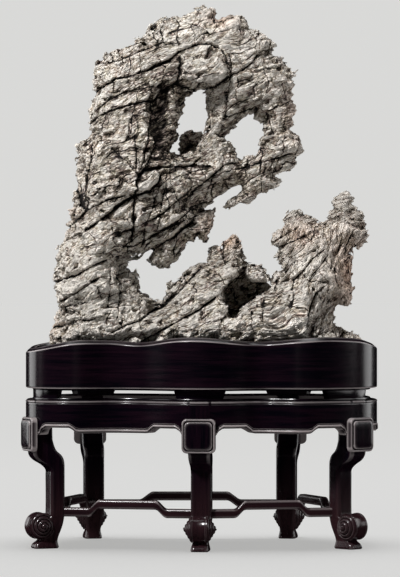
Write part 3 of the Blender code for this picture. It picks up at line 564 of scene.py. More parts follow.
# Fissures: half width, depth, course x, z.
FISSURES = (
    (2.0, 8, ((-104, 451), (-93, 460), (-81, 466), (-67, 469), (-51, 474), (-43, 478), (-29, 483), (-21, 491),
              (-11, 495), (-3, 499), (8, 500), (20, 496))),
    (3.2, 9, ((-46, 476), (-37, 480), (-29, 483))),
    (1.4, 6, ((-92, 486), (-79, 485), (-66, 490), (-52, 497), (-38, 501), (-22, 500))),
    (1.5, 6, ((-81, 499), (-81, 486))),
    (1.3, 5, ((-98, 437), (-88, 445), (-74, 452), (-60, 455), (-45, 458))),
    (1.9, 7, ((-110, 419), (-97, 430), (-82, 435), (-65, 439), (-42, 446), (-34, 456), (-23, 461))),
    (2.2, 8, ((-23, 461), (-11, 459), (4, 458), (20, 460), (28, 466), (42, 473), (54, 482), (61, 491))),
    (1.3, 5, ((-19, 487), (-18, 470), (-22, 461))),
    (1.7, 6, ((-134, 320), (-122, 323), (-110, 335), (-97, 341), (-86, 345), (-70, 348))),
    (2.2, 9, ((-112, 315), (-103, 321), (-93, 328), (-83, 336), (-75, 342), (-65, 348), (-58, 350),
              (-50, 353), (-42, 360), (-39, 368))),
    (3.2, 9, ((-85, 336), (-75, 343), (-64, 348))),
    (2.4, 9, ((-65, 349), (-65, 330), (-64, 308))),
    (1.5, 7, ((-65, 349), (-65, 360), (-62, 366), (-56, 373), (-49, 375), (-41, 376), (-25, 377), (-11, 380),
              (-3, 382), (4, 389))),
    (2.6, 8, ((-63, 366), (-55, 374), (-41, 376))),
    (1.4, 6, ((-64, 366), (-65, 384), (-65, 408))),
    (1.5, 6, ((-62, 367), (-57, 384), (-52, 402), (-47, 428))),
    (1.3, 6, ((-61, 367), (-53, 380), (-45, 396))),
    (1.2, 5, ((-64, 367), (-73, 380), (-88, 394))),
    (1.2, 5, ((-41, 357), (-46, 338), (-52, 323), (-52, 304))),
    (1.2, 5, ((-34, 362), (-38, 340), (-40, 318))),
    (1.2, 5, ((-104, 396), (-108, 379), (-110, 361), (-112, 352), (-109, 339))),
    (2.2, 8, ((-115, 367), (-115, 354), (-113, 341), (-110, 336))),
    (1.6, 6, ((-78, 300), (-62, 301), (-51, 307), (-37, 315), (-23, 321), (-12, 326), (0, 331))),
    (1.6, 6, ((-76, 313), (-60, 319), (-47, 325), (-35, 332), (-23, 343), (-11, 352))),
    (1.6, 6, ((-51, 306), (-36, 316), (-21, 324), (-9, 334), (-4, 339))),
    (1.2, 5, ((16, 368), (12, 354), (8, 342))),
    (3.2, 9, ((-46, 294), (-35, 303), (-23, 310), (-14, 318), (-3, 326))),
    (1.7, 6, ((42, 379), (59, 384), (80, 389), (98, 395))),
    (1.6, 6, ((-6, 354), (9, 365), (21, 375), (28, 382), (42, 386))),
    (1.3, 5, ((28, 429), (46, 435), (60, 441))),
    (2.0, 7, ((-136, 268), (-123, 269), (-111, 276), (-97, 283), (-90, 286))),
    (2.0, 7, ((-136, 245), (-125, 250), (-113, 258), (-106, 263))),
    (1.3, 5, ((-101, 245), (-104, 251), (-109, 256))),
    (1.5, 6, ((-138, 239), (-117, 239))),
    (2.0, 7, ((-145, 222), (-130, 222), (-115, 222), (-108, 224))),
    (2.2, 7, ((6, 280), (-8, 265), (-19, 254), (-31, 242), (-46, 235), (-62, 223), (-74, 219), (-90, 211))),
    (3.2, 8, ((-22, 252), (-31, 243), (-44, 236))),
    (1.8, 7, ((-60, 203), (-40, 214), (-22, 224), (-2, 235), (14, 247))),
    (1.8, 6, ((91, 256), (96, 266), (104, 276), (114, 288), (124, 296))),
    (1.6, 5, ((103, 217), (107, 236), (114, 252), (122, 258))),
    (1.3, 4, ((108, 266), (117, 277), (127, 289))),
    (1.9, 6, ((85, 302), (94, 305), (108, 311))),
    (1.3, 5, ((81, 308), (90, 313), (101, 320))),
    (1.1, 4, ((60, 242), (58, 220))),
    (1.2, 4, ((-13, 525), (-3, 522), (8, 516), (16, 511))),
    (1.2, 4, ((-3, 503), (4, 510), (13, 513))),
    (1.3, 5, ((23, 494), (27, 482), (28, 466))),
    (1.2, 4, ((28, 492), (32, 478), (31, 466), (30, 449), (29, 429))),
    (1.1, 4, ((-43, 514), (-38, 499))),
    (1.1, 4, ((-35, 514), (-34, 500))),
    (1.1, 4, ((-24, 514), (-20, 498))),
    (1.5, 6, ((-19, 484), (-19, 471), (-21, 461))),
    (1.2, 4, ((-8, 357), (-13, 336))),
    (1.2, 4, ((28, 430), (30, 442), (28, 454))),
    (1.2, 4, ((78, 373), (83, 389))),
    (1.4, 5, ((-130, 235), (-117, 227))),
    (1.3, 5, ((-87, 277), (-92, 254), (-94, 237))),
    (1.3, 5, ((-76, 261), (-81, 243), (-86, 224))),
    (1.2, 4, ((-71, 239), (-81, 238), (-97, 234))),
    (1.2, 4, ((145, 310), (141, 295))),
    (1.2, 4, ((88, 236), (91, 249))),
)
FISSURE_SLANT = (0.22, 0.14)      # sideways and upward shift of a fissure for each unit of depth
FISSURE_FRONT = -45.0             # the y at which a fissure runs along its course
FISSURE_MARGIN = 12.0             # how far beyond its course's box a fissure is felt
FISSURE_LIMIT = 8                 # the distance to a fissure is kept up to this many half widths
LAYER_ORIGIN = (70, 290)
LAYER_RISE = (27, 58)             # degrees: of the layers in the body and in the right-hand tower
TOWER_SIDE = (62, 40)             # the tower starts at this x, and the layers turn over this width
TOWER_TOP = (350, 30)             # it ends at this z, and the layers turn over this height
THIN = 38.0                       # where the stone is thinner than this its relief is slighter
RAGGED_EDGE = 0.9                 # extra fine relief along the outline
COARSE_REACH = 14.0               # the coarse relief is worked out this near the surface,
FINE_REACH = 6.0                  # and the fine relief this near
STONE_BOX = ((-168.0, -84.0), (182.0, 84.0, 548.0))
STONE_PITCH = 1.45                # sampling pitch of the stone's body
STONE_TRIANGLES = 175000
TRAY_OUTLINE_POINTS = 90
# Hollows marked on the stone, for painted shade in them and painted highlight on the crests between them:
# name, rounds of smoothing, depth that counts as 1.
HOLLOW_SHADE_MARKS = (("hollow_shade_fine", 3, 0.55), ("hollow_shade_wide", 24, 2.2))
CELL_JITTER = 0.8                 # how far a scattered point may lie from the middle of its cell
# Blocks: size along, in depth and across the layers, relief by their value, relief by their tilt.
COARSE_BLOCKS = ((32.0, 44.0, 15.0), 1.3, 2.6)
FINE_BLOCKS = ((13.0, 22.0, 6.5), 0.5, 1.7)
BLOCK_GAP = (0.06, 1.4)           # half width as a share of a coarse block, depth
SWELL = (46, 4, 1.1)              # widest relief: reach, height, and lift on the whole
LEDGES = (8.5, 1.2)               # from one ledge to the next, height
# Folds: bend, reach of the bend, wave along, in depth and across the layers, height.
COARSE_FOLDS = (
    (0.9, 30, (1 / 46, 1 / 90, 1 / 34), 1.4), (0.8, 22, (-1 / 34, 1 / 70, 1 / 24), 0.9),
    (0.8, 22, (1 / 90, -1 / 60, 1 / 18), 0.8),
)
FINE_FOLDS = (
    (0.9, 14, (1 / 30, 1 / 70, 1 / 10), 0.6), (0.9, 12, (-1 / 15, 1 / 40, 1 / 13), 0.35),
    (0.8, 9, (1 / 14, -1 / 24, 1 / 18), 0.3), (0.9, 8, (1 / 40, 1 / 36, 1 / 5.2), 0.75),
    (0.9, 6, (-1 / 9, 1 / 20, 1 / 7), 0.45), (0.9, 5, (1 / 11, 1 / 16, 1 / 4.6), 0.45),
)


def squared_distance(x, z, a, b):
    """Squared distance to the segment from a to b."""
    ex, ez = b[0] - a[0], b[1] - a[1]
    t = np.clip(((x - a[0]) * ex + (z - a[1]) * ez) / (ex * ex + ez * ez), 0, 1)
    return (x - a[0] - t * ex) ** 2 + (z - a[1] - t * ez) ** 2


def inside_distance(x, z, polygon):
    """Signed distance to a closed polygon, positive inside."""
    best = np.full(x.shape, 1e9)
    inside = np.zeros(x.shape, bool)
    for a, b in zip(polygon, polygon[1:] + polygon[:1]):
        best = np.minimum(best, squared_distance(x, z, a, b))
        if a[1] != b[1]:
            crossing = a[0] + (z - a[1]) * (b[0] - a[0]) / (b[1] - a[1])
            inside ^= ((a[1] > z) != (b[1] > z)) & (x < crossing)
    return np.where(inside, 1, -1) * np.sqrt(best)


def across_course(x, z, points):
    """Distance to an open course of points, positive above it and negative below."""
    best, side = np.full(x.shape, 1e9), np.ones(x.shape)
    for a, b in zip(points, points[1:]):
        d = squared_distance(x, z, a, b)
        above = (b[0] - a[0]) * (z - a[1]) > (b[1] - a[1]) * (x - a[0])
        side = np.where(d < best, np.where(above, 1, -1), side)
        best = np.minimum(best, d)
    return np.sqrt(best) * side


def depth_plan(x, z):
    """How far the stone reaches to the front and to the back."""
    weight, front, back = (np.zeros(x.shape) for _ in range(3))
    for px, pz, to_front, to_back in STONE_DEPTHS:
        w = np.exp(-((x - px) ** 2 + (z - pz) ** 2) / (2 * DEPTH_REACH ** 2)) + 1e-9
        weight += w
        front += w * to_front
        back += w * to_back
    return front / weight, back / weight


def inside_ellipsoid(x, y, z, centre, radii):
    """Approximate distance to an ellipsoid's surface, positive inside."""
    q = [(a - c) / r for a, c, r in zip((x, y, z), centre, radii)]
    k0 = np.sqrt(sum(a * a for a in q)) + 1e-6
    k1 = np.sqrt(sum((a / r) ** 2 for a, r in zip(q, radii))) + 1e-6
    return k0 * (1 - k0) / k1


def smooth_max(a, b, k):
    h = np.clip(0.5 + 0.5 * (a - b) / k, 0, 1)
    return b + (a - b) * h + k * h * (1 - h)


def lattice_hash(cell, seed):
    """A fixed, well mixed whole number for every cell of a lattice."""
    c = cell.astype(np.int64)
    h = (c[:, 0] * 73856093) ^ (c[:, 1] * 19349663) ^ (c[:, 2] * 83492791) ^ (seed * 2654435761)
    h = (h ^ (h >> 13)) & 0xFFFFFFFF
    h = (h * 1274126177) & 0xFFFFFFFF
    return h ^ (h >> 16)


def gradient_noise(p, seed):
    """Smooth noise between about -1 and 1."""
    table = np.random.RandomState(seed).normal(size=(64, 3))
    table /= np.linalg.norm(table, axis=1)[:, None]
    base = np.floor(p).astype(np.int64)
    f = p - base
    u = f * f * f * (f * (f * 6 - 15) + 10)
    total = np.zeros(len(p))
    for corner in np.ndindex(2, 2, 2):
        weight = np.prod(np.where(corner, u, 1 - u), axis=1)
        slope = table[lattice_hash(base + corner, seed) % len(table)]
        total += weight * ((f - corner) * slope).sum(axis=1)
    return total * 1.5


def cells(p, seed):
    """Gap between the two nearest scattered points, with a value and a tilt of the nearest one."""
    base = np.floor(p - 0.5).astype(np.int64)
    first, second = np.full(len(p), 9.0), np.full(len(p), 9.0)
    value, tilt = np.zeros(len(p)), np.zeros(len(p))
    for corner in np.ndindex(2, 2, 2):
        cell = base + corner
        h = lattice_hash(cell, seed)
        r = np.stack((h & 1023, (h >> 10) & 1023, (h >> 20) & 1023), 1) / 1023.0 - 0.5
        delta = p - (cell + 0.5 + CELL_JITTER * r)
        d = np.sqrt((delta ** 2).sum(axis=1))
        closer = d < first
        second = np.where(closer, first, np.minimum(second, d))
        first = np.where(closer, d, first)
        value = np.where(closer, r[:, 0] * 2, value)
        tilt = np.where(closer, (delta * r[:, [1, 2, 0]]).sum(axis=1) * 2, tilt)
    return second - first, value, tilt


def strata(p):
    """Coordinates along, in depth and across the layers, which rise to the right and are gently warped."""
    x, y, z = p.T
    in_tower = np.clip((x - TOWER_SIDE[0]) / TOWER_SIDE[1], 0, 1)
    steep = in_tower * np.clip((TOWER_TOP[0] - z) / TOWER_TOP[1], 0, 1)
    angle = np.radians(LAYER_RISE[0] + (LAYER_RISE[1] - LAYER_RISE[0]) * steep)
    px, pz = x - LAYER_ORIGIN[0], z - LAYER_ORIGIN[1]
    along, across = px * np.cos(angle) + pz * np.sin(angle), pz * np.cos(angle) - px * np.sin(angle)
    warp = gradient_noise(p / 34, 1) * 7
    return np.stack((along + warp, y + warp, across + gradient_noise(p / 26, 2) * 6), 1)


def fissure_distances(p):
    """At each point: signed distance across the nearest fissure in half widths, and the depth cut there."""
    x, y, z = p.T
    wander = gradient_noise(p / 7, 8) * 1.5 + gradient_noise(p / 2.7, 9) * 0.5
    sx = x + FISSURE_SLANT[0] * (y - FISSURE_FRONT) + wander
    sz = z + FISSURE_SLANT[1] * (y - FISSURE_FRONT) + wander
    fade = np.clip(0.75 - y / 60, 0.25, 1)
    nearest, cut = np.full(len(p), 99.0), np.zeros(len(p))
    for half, depth, course in FISSURES:
        x0, z0 = np.min(course, axis=0) - FISSURE_MARGIN
        x1, z1 = np.max(course, axis=0) + FISSURE_MARGIN
        near = np.flatnonzero((sx > x0) & (sx < x1) & (sz > z0) & (sz < z1))
        d = across_course(sx[near], sz[near], course)
        groove = 0.6 * depth * np.exp(-(d / (half * 0.65)) ** 2)
        ledge = 0.22 * depth * np.tanh(d / 2) * np.exp(-np.abs(d) / 7)
        cut[near] += (groove - ledge) * fade[near]
        d = d / half
        nearest[near] = np.where(np.abs(d) < np.abs(nearest[near]), d, nearest[near])
    return nearest, cut


def folds(p, q, table):
    """Flat facets that meet in sharp creases: folds in several directions, each bent by noise."""
    out = np.zeros(len(p))
    for seed, (length, depth, wave, height) in enumerate(table):
        phase = (q * wave).sum(axis=1) + gradient_noise(p / depth, 30 + seed) * length
        zigzag = 4 * np.abs(phase - np.floor(phase) - 0.5) - 1
        out += height * zigzag * np.clip(0.75 + 1.2 * gradient_noise(p / 23, 50 + seed), 0.1, 1.6)
    return out


def coarse_relief(p):
    """Blocks and fissures."""
    q = strata(p)
    size, by_value, by_tilt = COARSE_BLOCKS
    gap, value, tilt = cells(q / size, 11)
    out = SWELL[2] + gradient_noise(p / SWELL[0], 3) * SWELL[1] + value * by_value + tilt * by_tilt
    out -= BLOCK_GAP[1] * np.exp(-(gap / BLOCK_GAP[0]) ** 2)
    out += folds(p, q, COARSE_FOLDS)
    return out - fissure_distances(p)[1]


def fine_relief(p):
    """Chips, ledges and crinkles on the blocks."""
    q = strata(p)
    size, by_value, by_tilt = FINE_BLOCKS
    _, value, tilt = cells(q / size, 12)
    out = value * by_value + tilt * by_tilt
    step = q[:, 2] / LEDGES[0] + 0.7 * gradient_noise(p / 18, 4)
    out += LEDGES[1] * (step - np.floor(step) - 0.5) * (0.6 + gradient_noise(p / 40, 5))
    return out + folds(p, q, FINE_FOLDS)


def inside_tray(xs, ys):
    """Distance inwards from the tray's wall, less the clearance, over a regular grid."""
    section = ((-TRAY_WALL - WALL_CLEARANCE, 0),)
    shares = [k / TRAY_OUTLINE_POINTS for k in range(TRAY_OUTLINE_POINTS)]
    outline = [plan.ring(plan.length * share, section)[0][:2] for share in shares]
    x, y = np.meshgrid(xs, ys, indexing="ij")
    return inside_distance(x, y, outline)


def stone_field(pitch):
    """Samples of the stone's body on a regular grid, positive inside."""
    foot = DECK + JOINT_GAP
    low = np.array((*STONE_BOX[0], foot - 2.5 * pitch))
    counts = np.ceil((np.array(STONE_BOX[1]) - low) / pitch).astype(int) + 1
    xs, ys, zs = (low[i] + pitch * np.arange(counts[i]) for i in range(3))
    x, z = np.meshgrid(xs, zs, indexing="ij")
    d = inside_distance(x, z, STONE_OUTLINE)
    for window in (UPPER_LEFT_WINDOW, UPPER_RIGHT_WINDOW):
        d = np.minimum(d, -inside_distance(x, z, window))
    front, back = depth_plan(x, z)
    thinning = np.clip(1 - d / EDGE_ROUNDING, 0, None) ** EDGE_POWER
    x3, y3, z3 = (a.astype(np.float32) for a in (xs[:, None, None], ys[None, :, None], zs[None, None, :]))
    reach = np.where(y3 < 0, front[:, None, :], back[:, None, :])
    outwards = thinning[:, None, :] + (np.abs(y3) / reach) ** EDGE_POWER
    outwards = (outwards ** (1 / EDGE_POWER)).astype(np.float32)
    slope = np.sqrt(sum(g * g for g in np.gradient(outwards, pitch)) + 1e-6)
    field = (1 - outwards) / slope
    for centre, radii in LUMPS:
        field = smooth_max(field, inside_ellipsoid(x3, y3, z3, centre, radii), BLEND)
    for centre, radii in HOLLOWS:
        field = -smooth_max(-field, inside_ellipsoid(x3, y3, z3, centre, radii), BLEND)
    cave = np.minimum(inside_distance(x, z, CAVE)[:, None, :], CAVE_END - y3)
    field = -smooth_max(-field, cave, BLEND)
    sturdy = np.clip(np.minimum(front, back) / THIN, 0.4, 1)
    ragged = sturdy + RAGGED_EDGE * np.clip(thinning, 0, 1) ** 2
    for reach, relief, share in ((COARSE_REACH, coarse_relief, sturdy), (FINE_REACH, fine_relief, ragged)):
        near = np.argwhere(np.abs(field) < reach)
        field[tuple(near.T)] += relief(low + near * pitch) * share[near[:, 0], near[:, 2]]
    over_rim = np.clip((z3 - RIM_TOP) * 3, 0, None)
    field = np.minimum(field, inside_tray(xs, ys)[:, :, None] + over_rim)
    return np.minimum(field, z3 - foot), low


def surface_of(field, low, pitch):
    """Vertices and four-sided faces of the surface where the field changes sign."""
    inside = field > 0
    count = 0
    for corner in np.ndindex(2, 2, 2):
        window = tuple(slice(c, size - 1 + c) for c, size in zip(corner, inside.shape))
        count = count + inside[window].astype(int)
    mixed = np.argwhere((count > 0) & (count < 8))
    index = np.full(count.shape, -1)
    index[tuple(mixed.T)] = np.arange(len(mixed))
    unit = np.eye(3, dtype=int)
    total, hits = np.zeros((len(mixed), 3)), np.zeros(len(mixed))
    for axis in range(3):
        u, v = (unit[k] for k in range(3) if k != axis)
        for i, j in np.ndindex(2, 2):
            corner = i * u + j * v
            a = field[tuple((mixed + corner).T)]
            b = field[tuple((mixed + corner + unit[axis]).T)]
            cross = (a > 0) != (b > 0)
            t = np.where(cross, a / np.where(cross, a - b, 1), 0)
            total += cross[:, None] * (corner + t[:, None] * unit[axis])
            hits += cross
    verts = low + pitch * (mixed + total / hits[:, None])
    faces = []
    for axis in range(3):
        u, v = (unit[k] for k in range(3) if k != axis)
        lower, upper = [slice(1, -1)] * 3, [slice(1, -1)] * 3
        lower[axis], upper[axis] = slice(0, -1), slice(1, None)
        a, b = inside[tuple(lower)], inside[tuple(upper)]
        for wanted, leaving in ((a & ~b, True), (~a & b, False)):
            cell = np.argwhere(wanted) + (1 - unit[axis])
            ring = np.stack([index[tuple(c.T)] for c in (cell, cell - u, cell - u - v, cell - v)], 1)
            faces.append(ring if leaving == (axis != 1) else ring[:, ::-1])
    return verts, np.concatenate(faces)


def largest_piece(verts, faces):
    """Drops every loose piece but the largest."""
    label = np.arange(len(verts))
    edges = np.concatenate([faces[:, (i, (i + 1) % 4)] for i in range(4)])
    while True:
        before = label.copy()
        low = np.minimum(label[edges[:, 0]], label[edges[:, 1]])
        np.minimum.at(label, edges[:, 0], low)
        np.minimum.at(label, edges[:, 1], low)
        label = label[label]
        if (label == before).all():
            break
    kept = label == np.bincount(label).argmax()
    index = np.cumsum(kept) - 1
    return verts[kept], index[faces[kept[faces[:, 0]]]]


def stone_mesh():
    """The stone's surface, with fewer triangles than the sampling gives."""
    field, low = stone_field(STONE_PITCH)
    verts, faces = largest_piece(*surface_of(field, low, STONE_PITCH))
    mesh = bpy.data.meshes.new("rock_sampled")
    mesh.from_pydata(((verts - PLAN_CENTRE) * GRID).tolist(), [], faces.tolist())
    turn_outwards(mesh)
    piece = new_object("rock_fine", mesh)
    fewer = piece.modifiers.new("Fewer", "DECIMATE")
    fewer.ratio = min(1.0, STONE_TRIANGLES / (2 * len(faces)))
    kept = bpy.data.meshes.new_from_object(piece.evaluated_get(bpy.context.evaluated_depsgraph_get()))
    piece.modifiers.clear()
    piece.data = kept
    bpy.data.meshes.remove(mesh)
    kept.name = "rock_fine"
    return piece


def smoothed(values, edges, rounds):
    """Values at the vertices, averaged with their neighbours several times."""
    count = np.bincount(edges.ravel(), minlength=len(values)) + 1.0
    for _ in range(rounds):
        total = values.copy()
        for k in range(values.shape[1]):
            total[:, k] += np.bincount(edges[:, 0], values[edges[:, 1], k], len(values))
            total[:, k] += np.bincount(edges[:, 1], values[edges[:, 0], k], len(values))
        values = total / count[:, None]
    return values


def mark_stone(mesh):
    """Keeps on the mesh what the stone's material needs: layers, hollows for painted shade, places of painted
    light and shade, rust and fissures.
    """
    place, normals, edges = mesh_arrays(mesh)
    p = place / GRID + PLAN_CENTRE
    store(mesh, "strata", strata(p))
    # How far each vertex lies sunk below its neighbours: the material paints shade into the hollows and
    # highlight onto the crests from it.
    for name, rounds, scale in HOLLOW_SHADE_MARKS:
        sunk = ((smoothed(p, edges, rounds) - p) * normals).sum(axis=1)[:, None]
        store(mesh, name, smoothed(sunk, edges, 1)[:, 0] / scale)
    # The shade table paints darker and paler places: the stone's own tone, painted shade under overhangs, in
    # recesses and on undersides, and painted light on lit tops; the rust is a real reddish tint.
    for name, places in (("shade", STONE_PAINTED_LIGHT_AND_TONE), ("rust", STONE_RUST)):
        store(mesh, name, sum(amount * np.exp(-(((p - centre) / reach) ** 2).sum(axis=1))
                              for centre, reach, amount in places))
    across, _ = fissure_distances(p)
    store(mesh, "fissure_across", np.clip(across, -FISSURE_LIMIT, FISSURE_LIMIT))
    store(mesh, "fissure_near", np.clip(np.abs(across), 0, FISSURE_LIMIT))


# ---------------------------------------------------------------- finishes
STONE_RAMP = (
    (0.0, (0.008, 0.006, 0.005)), (0.2, (0.05, 0.036, 0.029)), (0.4, (0.195, 0.154, 0.124)),
    (0.6, (0.45, 0.366, 0.294)), (0.8, (0.83, 0.715, 0.592)), (1.0, (1.0, 0.935, 0.85)),
)
RUST_TINT = (1.0, 0.72, 0.6)
STONE_BUMP = 0.021
STONE_SHARP = 8.0
STONE_GRIT = (0.27, 0.38, 0.54)   # the grain is drawn out along the layers
# Families of chips: scale along, in depth and across the layers, start, gain of the crease between two chips,
# weights in the height (tilt, crease), weights in the tone (crease, value, tilt); in the tone the crease is
# painted shade.
CHIPS = (
    ((0.055, 0.09, 0.21), 3.7, 9.0, (0.75, 0.08), (0.3, 0.08, 0.1)),
    ((0.095, 0.16, 0.37), 9.1, 6.0, (0.9, 0.1), (0.42, 0.12, 0.25)),
    ((0.2, 0.3, 0.57), 15.7, 4.0, (0.9, 0.1), (0.38, 0.16, 0.2)),
)
GRIT_HEIGHT = 0.3
# Weights in the tone: grit, patches, fine and wide hollows (painted shade in them, painted highlight on
# crests), fissures, painted light and shade by place, and the whole.
TONE_WEIGHTS = (0.75, 0.4, -0.22, -0.1, -0.9, 1.0, -0.63)
# Families of thin cracks: direction across them and along them in the layers' coordinates, spacing, start.
HAIRLINES = (
    ((0.05, 0.1, 1.0), (1.0, 0.0, -0.05), 9.0, 0.3), ((0.89, 0.1, -0.454), (0.454, 0.0, 0.89), 12.0, 2.7),
    ((0.97, -0.1, -0.2), (0.2, 0.0, 0.97), 21.0, 5.1), ((0.7, 0.1, -0.7), (0.7, 0.0, 0.7), 25.0, 8.8),
)
HAIRLINE_EDGE = (0.3, 0.75)       # a thin crack is dark up to the first distance and fades up to the second
HAIRLINE_SHOWN = (0.52, 0.62)     # values of a noise along it from which it starts to show and shows fully
FISSURE_EDGE = (0.3, 0.62)        # the same as for thin cracks, in half widths of the fissure
FISSURE_CLEAR = 2.0               # no darkness beyond this many half widths
# Places where the stone is painted darker or paler, partly its own tone and partly painted shade under
# overhangs, in recesses and on undersides, and painted light on lit tops: centre, reach, change.
STONE_PAINTED_LIGHT_AND_TONE = (
    ((-30, -40, 330), (52, 60, 36), -0.09), ((-5, -30, 365), (34, 60, 30), -0.07),
    ((-15, -25, 300), (42, 50, 17), -0.26), ((-100, -40, 250), (60, 60, 60), 0.36),
    ((-39, -30, 422), (22, 38, 50), -0.46), ((-27, -20, 456), (17, 30, 14), -0.42),
    ((-6, 26, 400), (22, 20, 18), -0.5), ((-51, -52, 361), (11, 16, 11), 0.16),
    ((50, -20, 505), (40, 60, 26), 0.06), ((46, -10, 250), (22, 36, 22), -0.15),
    ((120, -30, 265), (50, 60, 60), 0.23), ((6, -30, 515), (80, 60, 26), 0.14),
    ((-15, -30, 235), (60, 60, 30), 0.1), ((142, -10, 345), (14, 40, 16), 0.08),
    ((60, -30, 420), (40, 60, 50), -0.03), ((42, -20, 349), (30, 60, 12), -0.27),
    ((-47, -40, 386), (13, 38, 22), -0.3), ((-90, -30, 405), (42, 60, 50), -0.08),
    ((-82, -30, 335), (38, 60, 34), -0.07), ((62, -20, 385), (34, 60, 26), -0.05),
)
# Places with a reddish tint: centre, reach, strength.
STONE_RUST = (
    ((148, 0, 270), (20, 60, 40), 0.7), ((99, 0, 309), (18, 60, 14), 0.5), ((19, 0, 524), (14, 60, 10), 0.5),
    ((29, 0, 304), (12, 60, 10), 0.6), ((9, 0, 319), (12, 60, 12), 0.4), ((-140, 0, 330), (18, 60, 18), 0.3),
    ((-148, 0, 215), (14, 60, 14), 0.3), ((92, 0, 430), (14, 60, 30), 0.3),
)
WOOD_DARK = (0.0010, 0.0007, 0.0021)
WOOD_LIGHT = (0.0110, 0.0028, 0.0068)
WOOD_CONTRAST = (0.42, 0.78)      # values of the grain at which the wood is darkest and lightest
# Pale colour of the edges: rubbed wood, and painted highlight where the gloss of beads and corners would
# catch the lamps.
WOOD_RUBBED_AND_HIGHLIT = (0.42, 0.37, 0.37)
WOOD_BROWN = (0.021, 0.0085, 0.0102)
FOOT_BROWN = (0.03, 0.1)          # metres: the wood is browner from the feet up to these heights
WOOD_GRAIN = (14.0, 260.0)        # scale along the fibres and across them
RUBBING_AND_HIGHLIGHT_POWER = 3.2                  # how closely the rubbing and painted highlight keep to the edges
MIDDLE = (0.5, 0.5, 0.5)          # the mean of a random colour
RISE, FALL = (0.0, 1.0), (1.0, 0.0)


def set_inputs(tree, node, inputs):
    """Sets a node's inputs, or links them to the outputs of other nodes."""
    for name, value in inputs.items():
        socket = node.inputs[name]
        if isinstance(value, bpy.types.NodeSocket):
            tree.links.new(value, socket)
        else:
            socket.default_value = value


def add_node(tree, kind, inputs, **settings):
    node = tree.nodes.new("ShaderNode" + kind)
    for key, value in settings.items():
        setattr(node, key, value)
    set_inputs(tree, node, inputs)
    return node


def new_material(name):
    material = bpy.data.materials.new(name)
    material.use_nodes = True
    tree = material.node_tree
    return material, tree, tree.nodes["Principled BSDF"]


def attribute(tree, name, output="Fac"):
    return add_node(tree, "Attribute", {}, attribute_name=name).outputs[output]


def calculate(tree, operation, *values, clamp=False):
    return add_node(tree, "Math", dict(enumerate(values)), operation=operation, use_clamp=clamp).outputs[0]


def vectors(tree, operation, *values, output="Vector"):
    return add_node(tree, "VectorMath", dict(enumerate(values)), operation=operation).outputs[output]


def weighted(tree, *terms):
    """The sum of several values, each with its weight."""
    total = 0.0
    for value, weight in terms:
        total = calculate(tree, "MULTIPLY_ADD", value, weight, total)
    return total


def noise(tree, place, scale, detail, output="Fac", **more):
    inputs = {"Vector": place, "Scale": scale, "Detail": detail, **more}
    return add_node(tree, "TexNoise", inputs).outputs[output]


def map_range(tree, value, limits, results, kind="LINEAR"):
    inputs = {"Value": value, "From Min": limits[0], "From Max": limits[1], "To Min": results[0],
              "To Max": results[1]}
    return add_node(tree, "MapRange", inputs, interpolation_type=kind).outputs["Result"]


def mixed(tree, share, first, second, way="MIX"):
    inputs = {0: share, 6: first, 7: second}
    return add_node(tree, "Mix", inputs, data_type="RGBA", blend_type=way).outputs[2]


def colour_ramp(tree, value, rows):
    """A colour read from (position, colour) rows."""
    node = add_node(tree, "ValToRGB", {"Fac": value})
    points = node.color_ramp.elements
    for place, _ in rows[1:-1]:
        points.new(place)
    for point, (place, colour) in zip(points, rows):
        point.position = place
        point.color = (*colour, 1)
    return node.outputs["Color"]


def bump(tree, height, strength, distance):
    inputs = {"Height": height, "Strength": strength, "Distance": distance}
    return add_node(tree, "Bump", inputs).outputs["Normal"]


def shards(tree, layers, scale, start):
    """Small flat chips, each tilted its own way: tilt, distance to the chip's edge, and a value for each."""
    place = vectors(tree, "ADD", vectors(tree, "MULTIPLY", layers, scale), (start, start, start))
    bend = vectors(tree, "SUBTRACT", noise(tree, place, 0.9, 2.0, "Color"), MIDDLE)
    place = vectors(tree, "MULTIPLY_ADD", bend, (1.1, 1.1, 1.1), place)
    nearest, edge = (add_node(tree, "TexVoronoi", {"Vector": place, "Scale": 1.0}, feature=feature).outputs
                     for feature in ("F1", "DISTANCE_TO_EDGE"))
    offset = vectors(tree, "SUBTRACT", place, nearest["Position"])
    slope = vectors(tree, "SUBTRACT", nearest["Color"], MIDDLE)
    tilt = vectors(tree, "DOT_PRODUCT", offset, slope, output="Value")
    value = add_node(tree, "SeparateColor", {"Color": nearest["Color"]}).outputs["Green"]
    return tilt, edge["Distance"], value


def hairlines(tree, layers, across_line, along_line, spacing, start):
    """Thin straight cracks in one direction, each of its own length: 1 on a crack and 0 off it."""
    across = vectors(tree, "DOT_PRODUCT", layers, across_line, output="Value")
    along = vectors(tree, "DOT_PRODUCT", layers, along_line, output="Value")
    drift = noise(tree, layers, 0.035, 3.0)
    place = weighted(tree, (across, 1.0 / spacing), (drift, 1.6), (1.0, start))
    number = calculate(tree, "FLOOR", place)
    off = calculate(tree, "SUBTRACT", calculate(tree, "SUBTRACT", place, number), 0.5)
    off = calculate(tree, "MULTIPLY", calculate(tree, "ABSOLUTE", off), spacing)
    run = {"X": calculate(tree, "MULTIPLY", number, 7.31), "Y": calculate(tree, "MULTIPLY", along, 0.028)}
    length = noise(tree, add_node(tree, "CombineXYZ", run).outputs[0], 1.0, 1.0)
    return calculate(tree, "MULTIPLY", map_range(tree, off, HAIRLINE_EDGE, FALL),
                     map_range(tree, length, HAIRLINE_SHOWN, RISE))


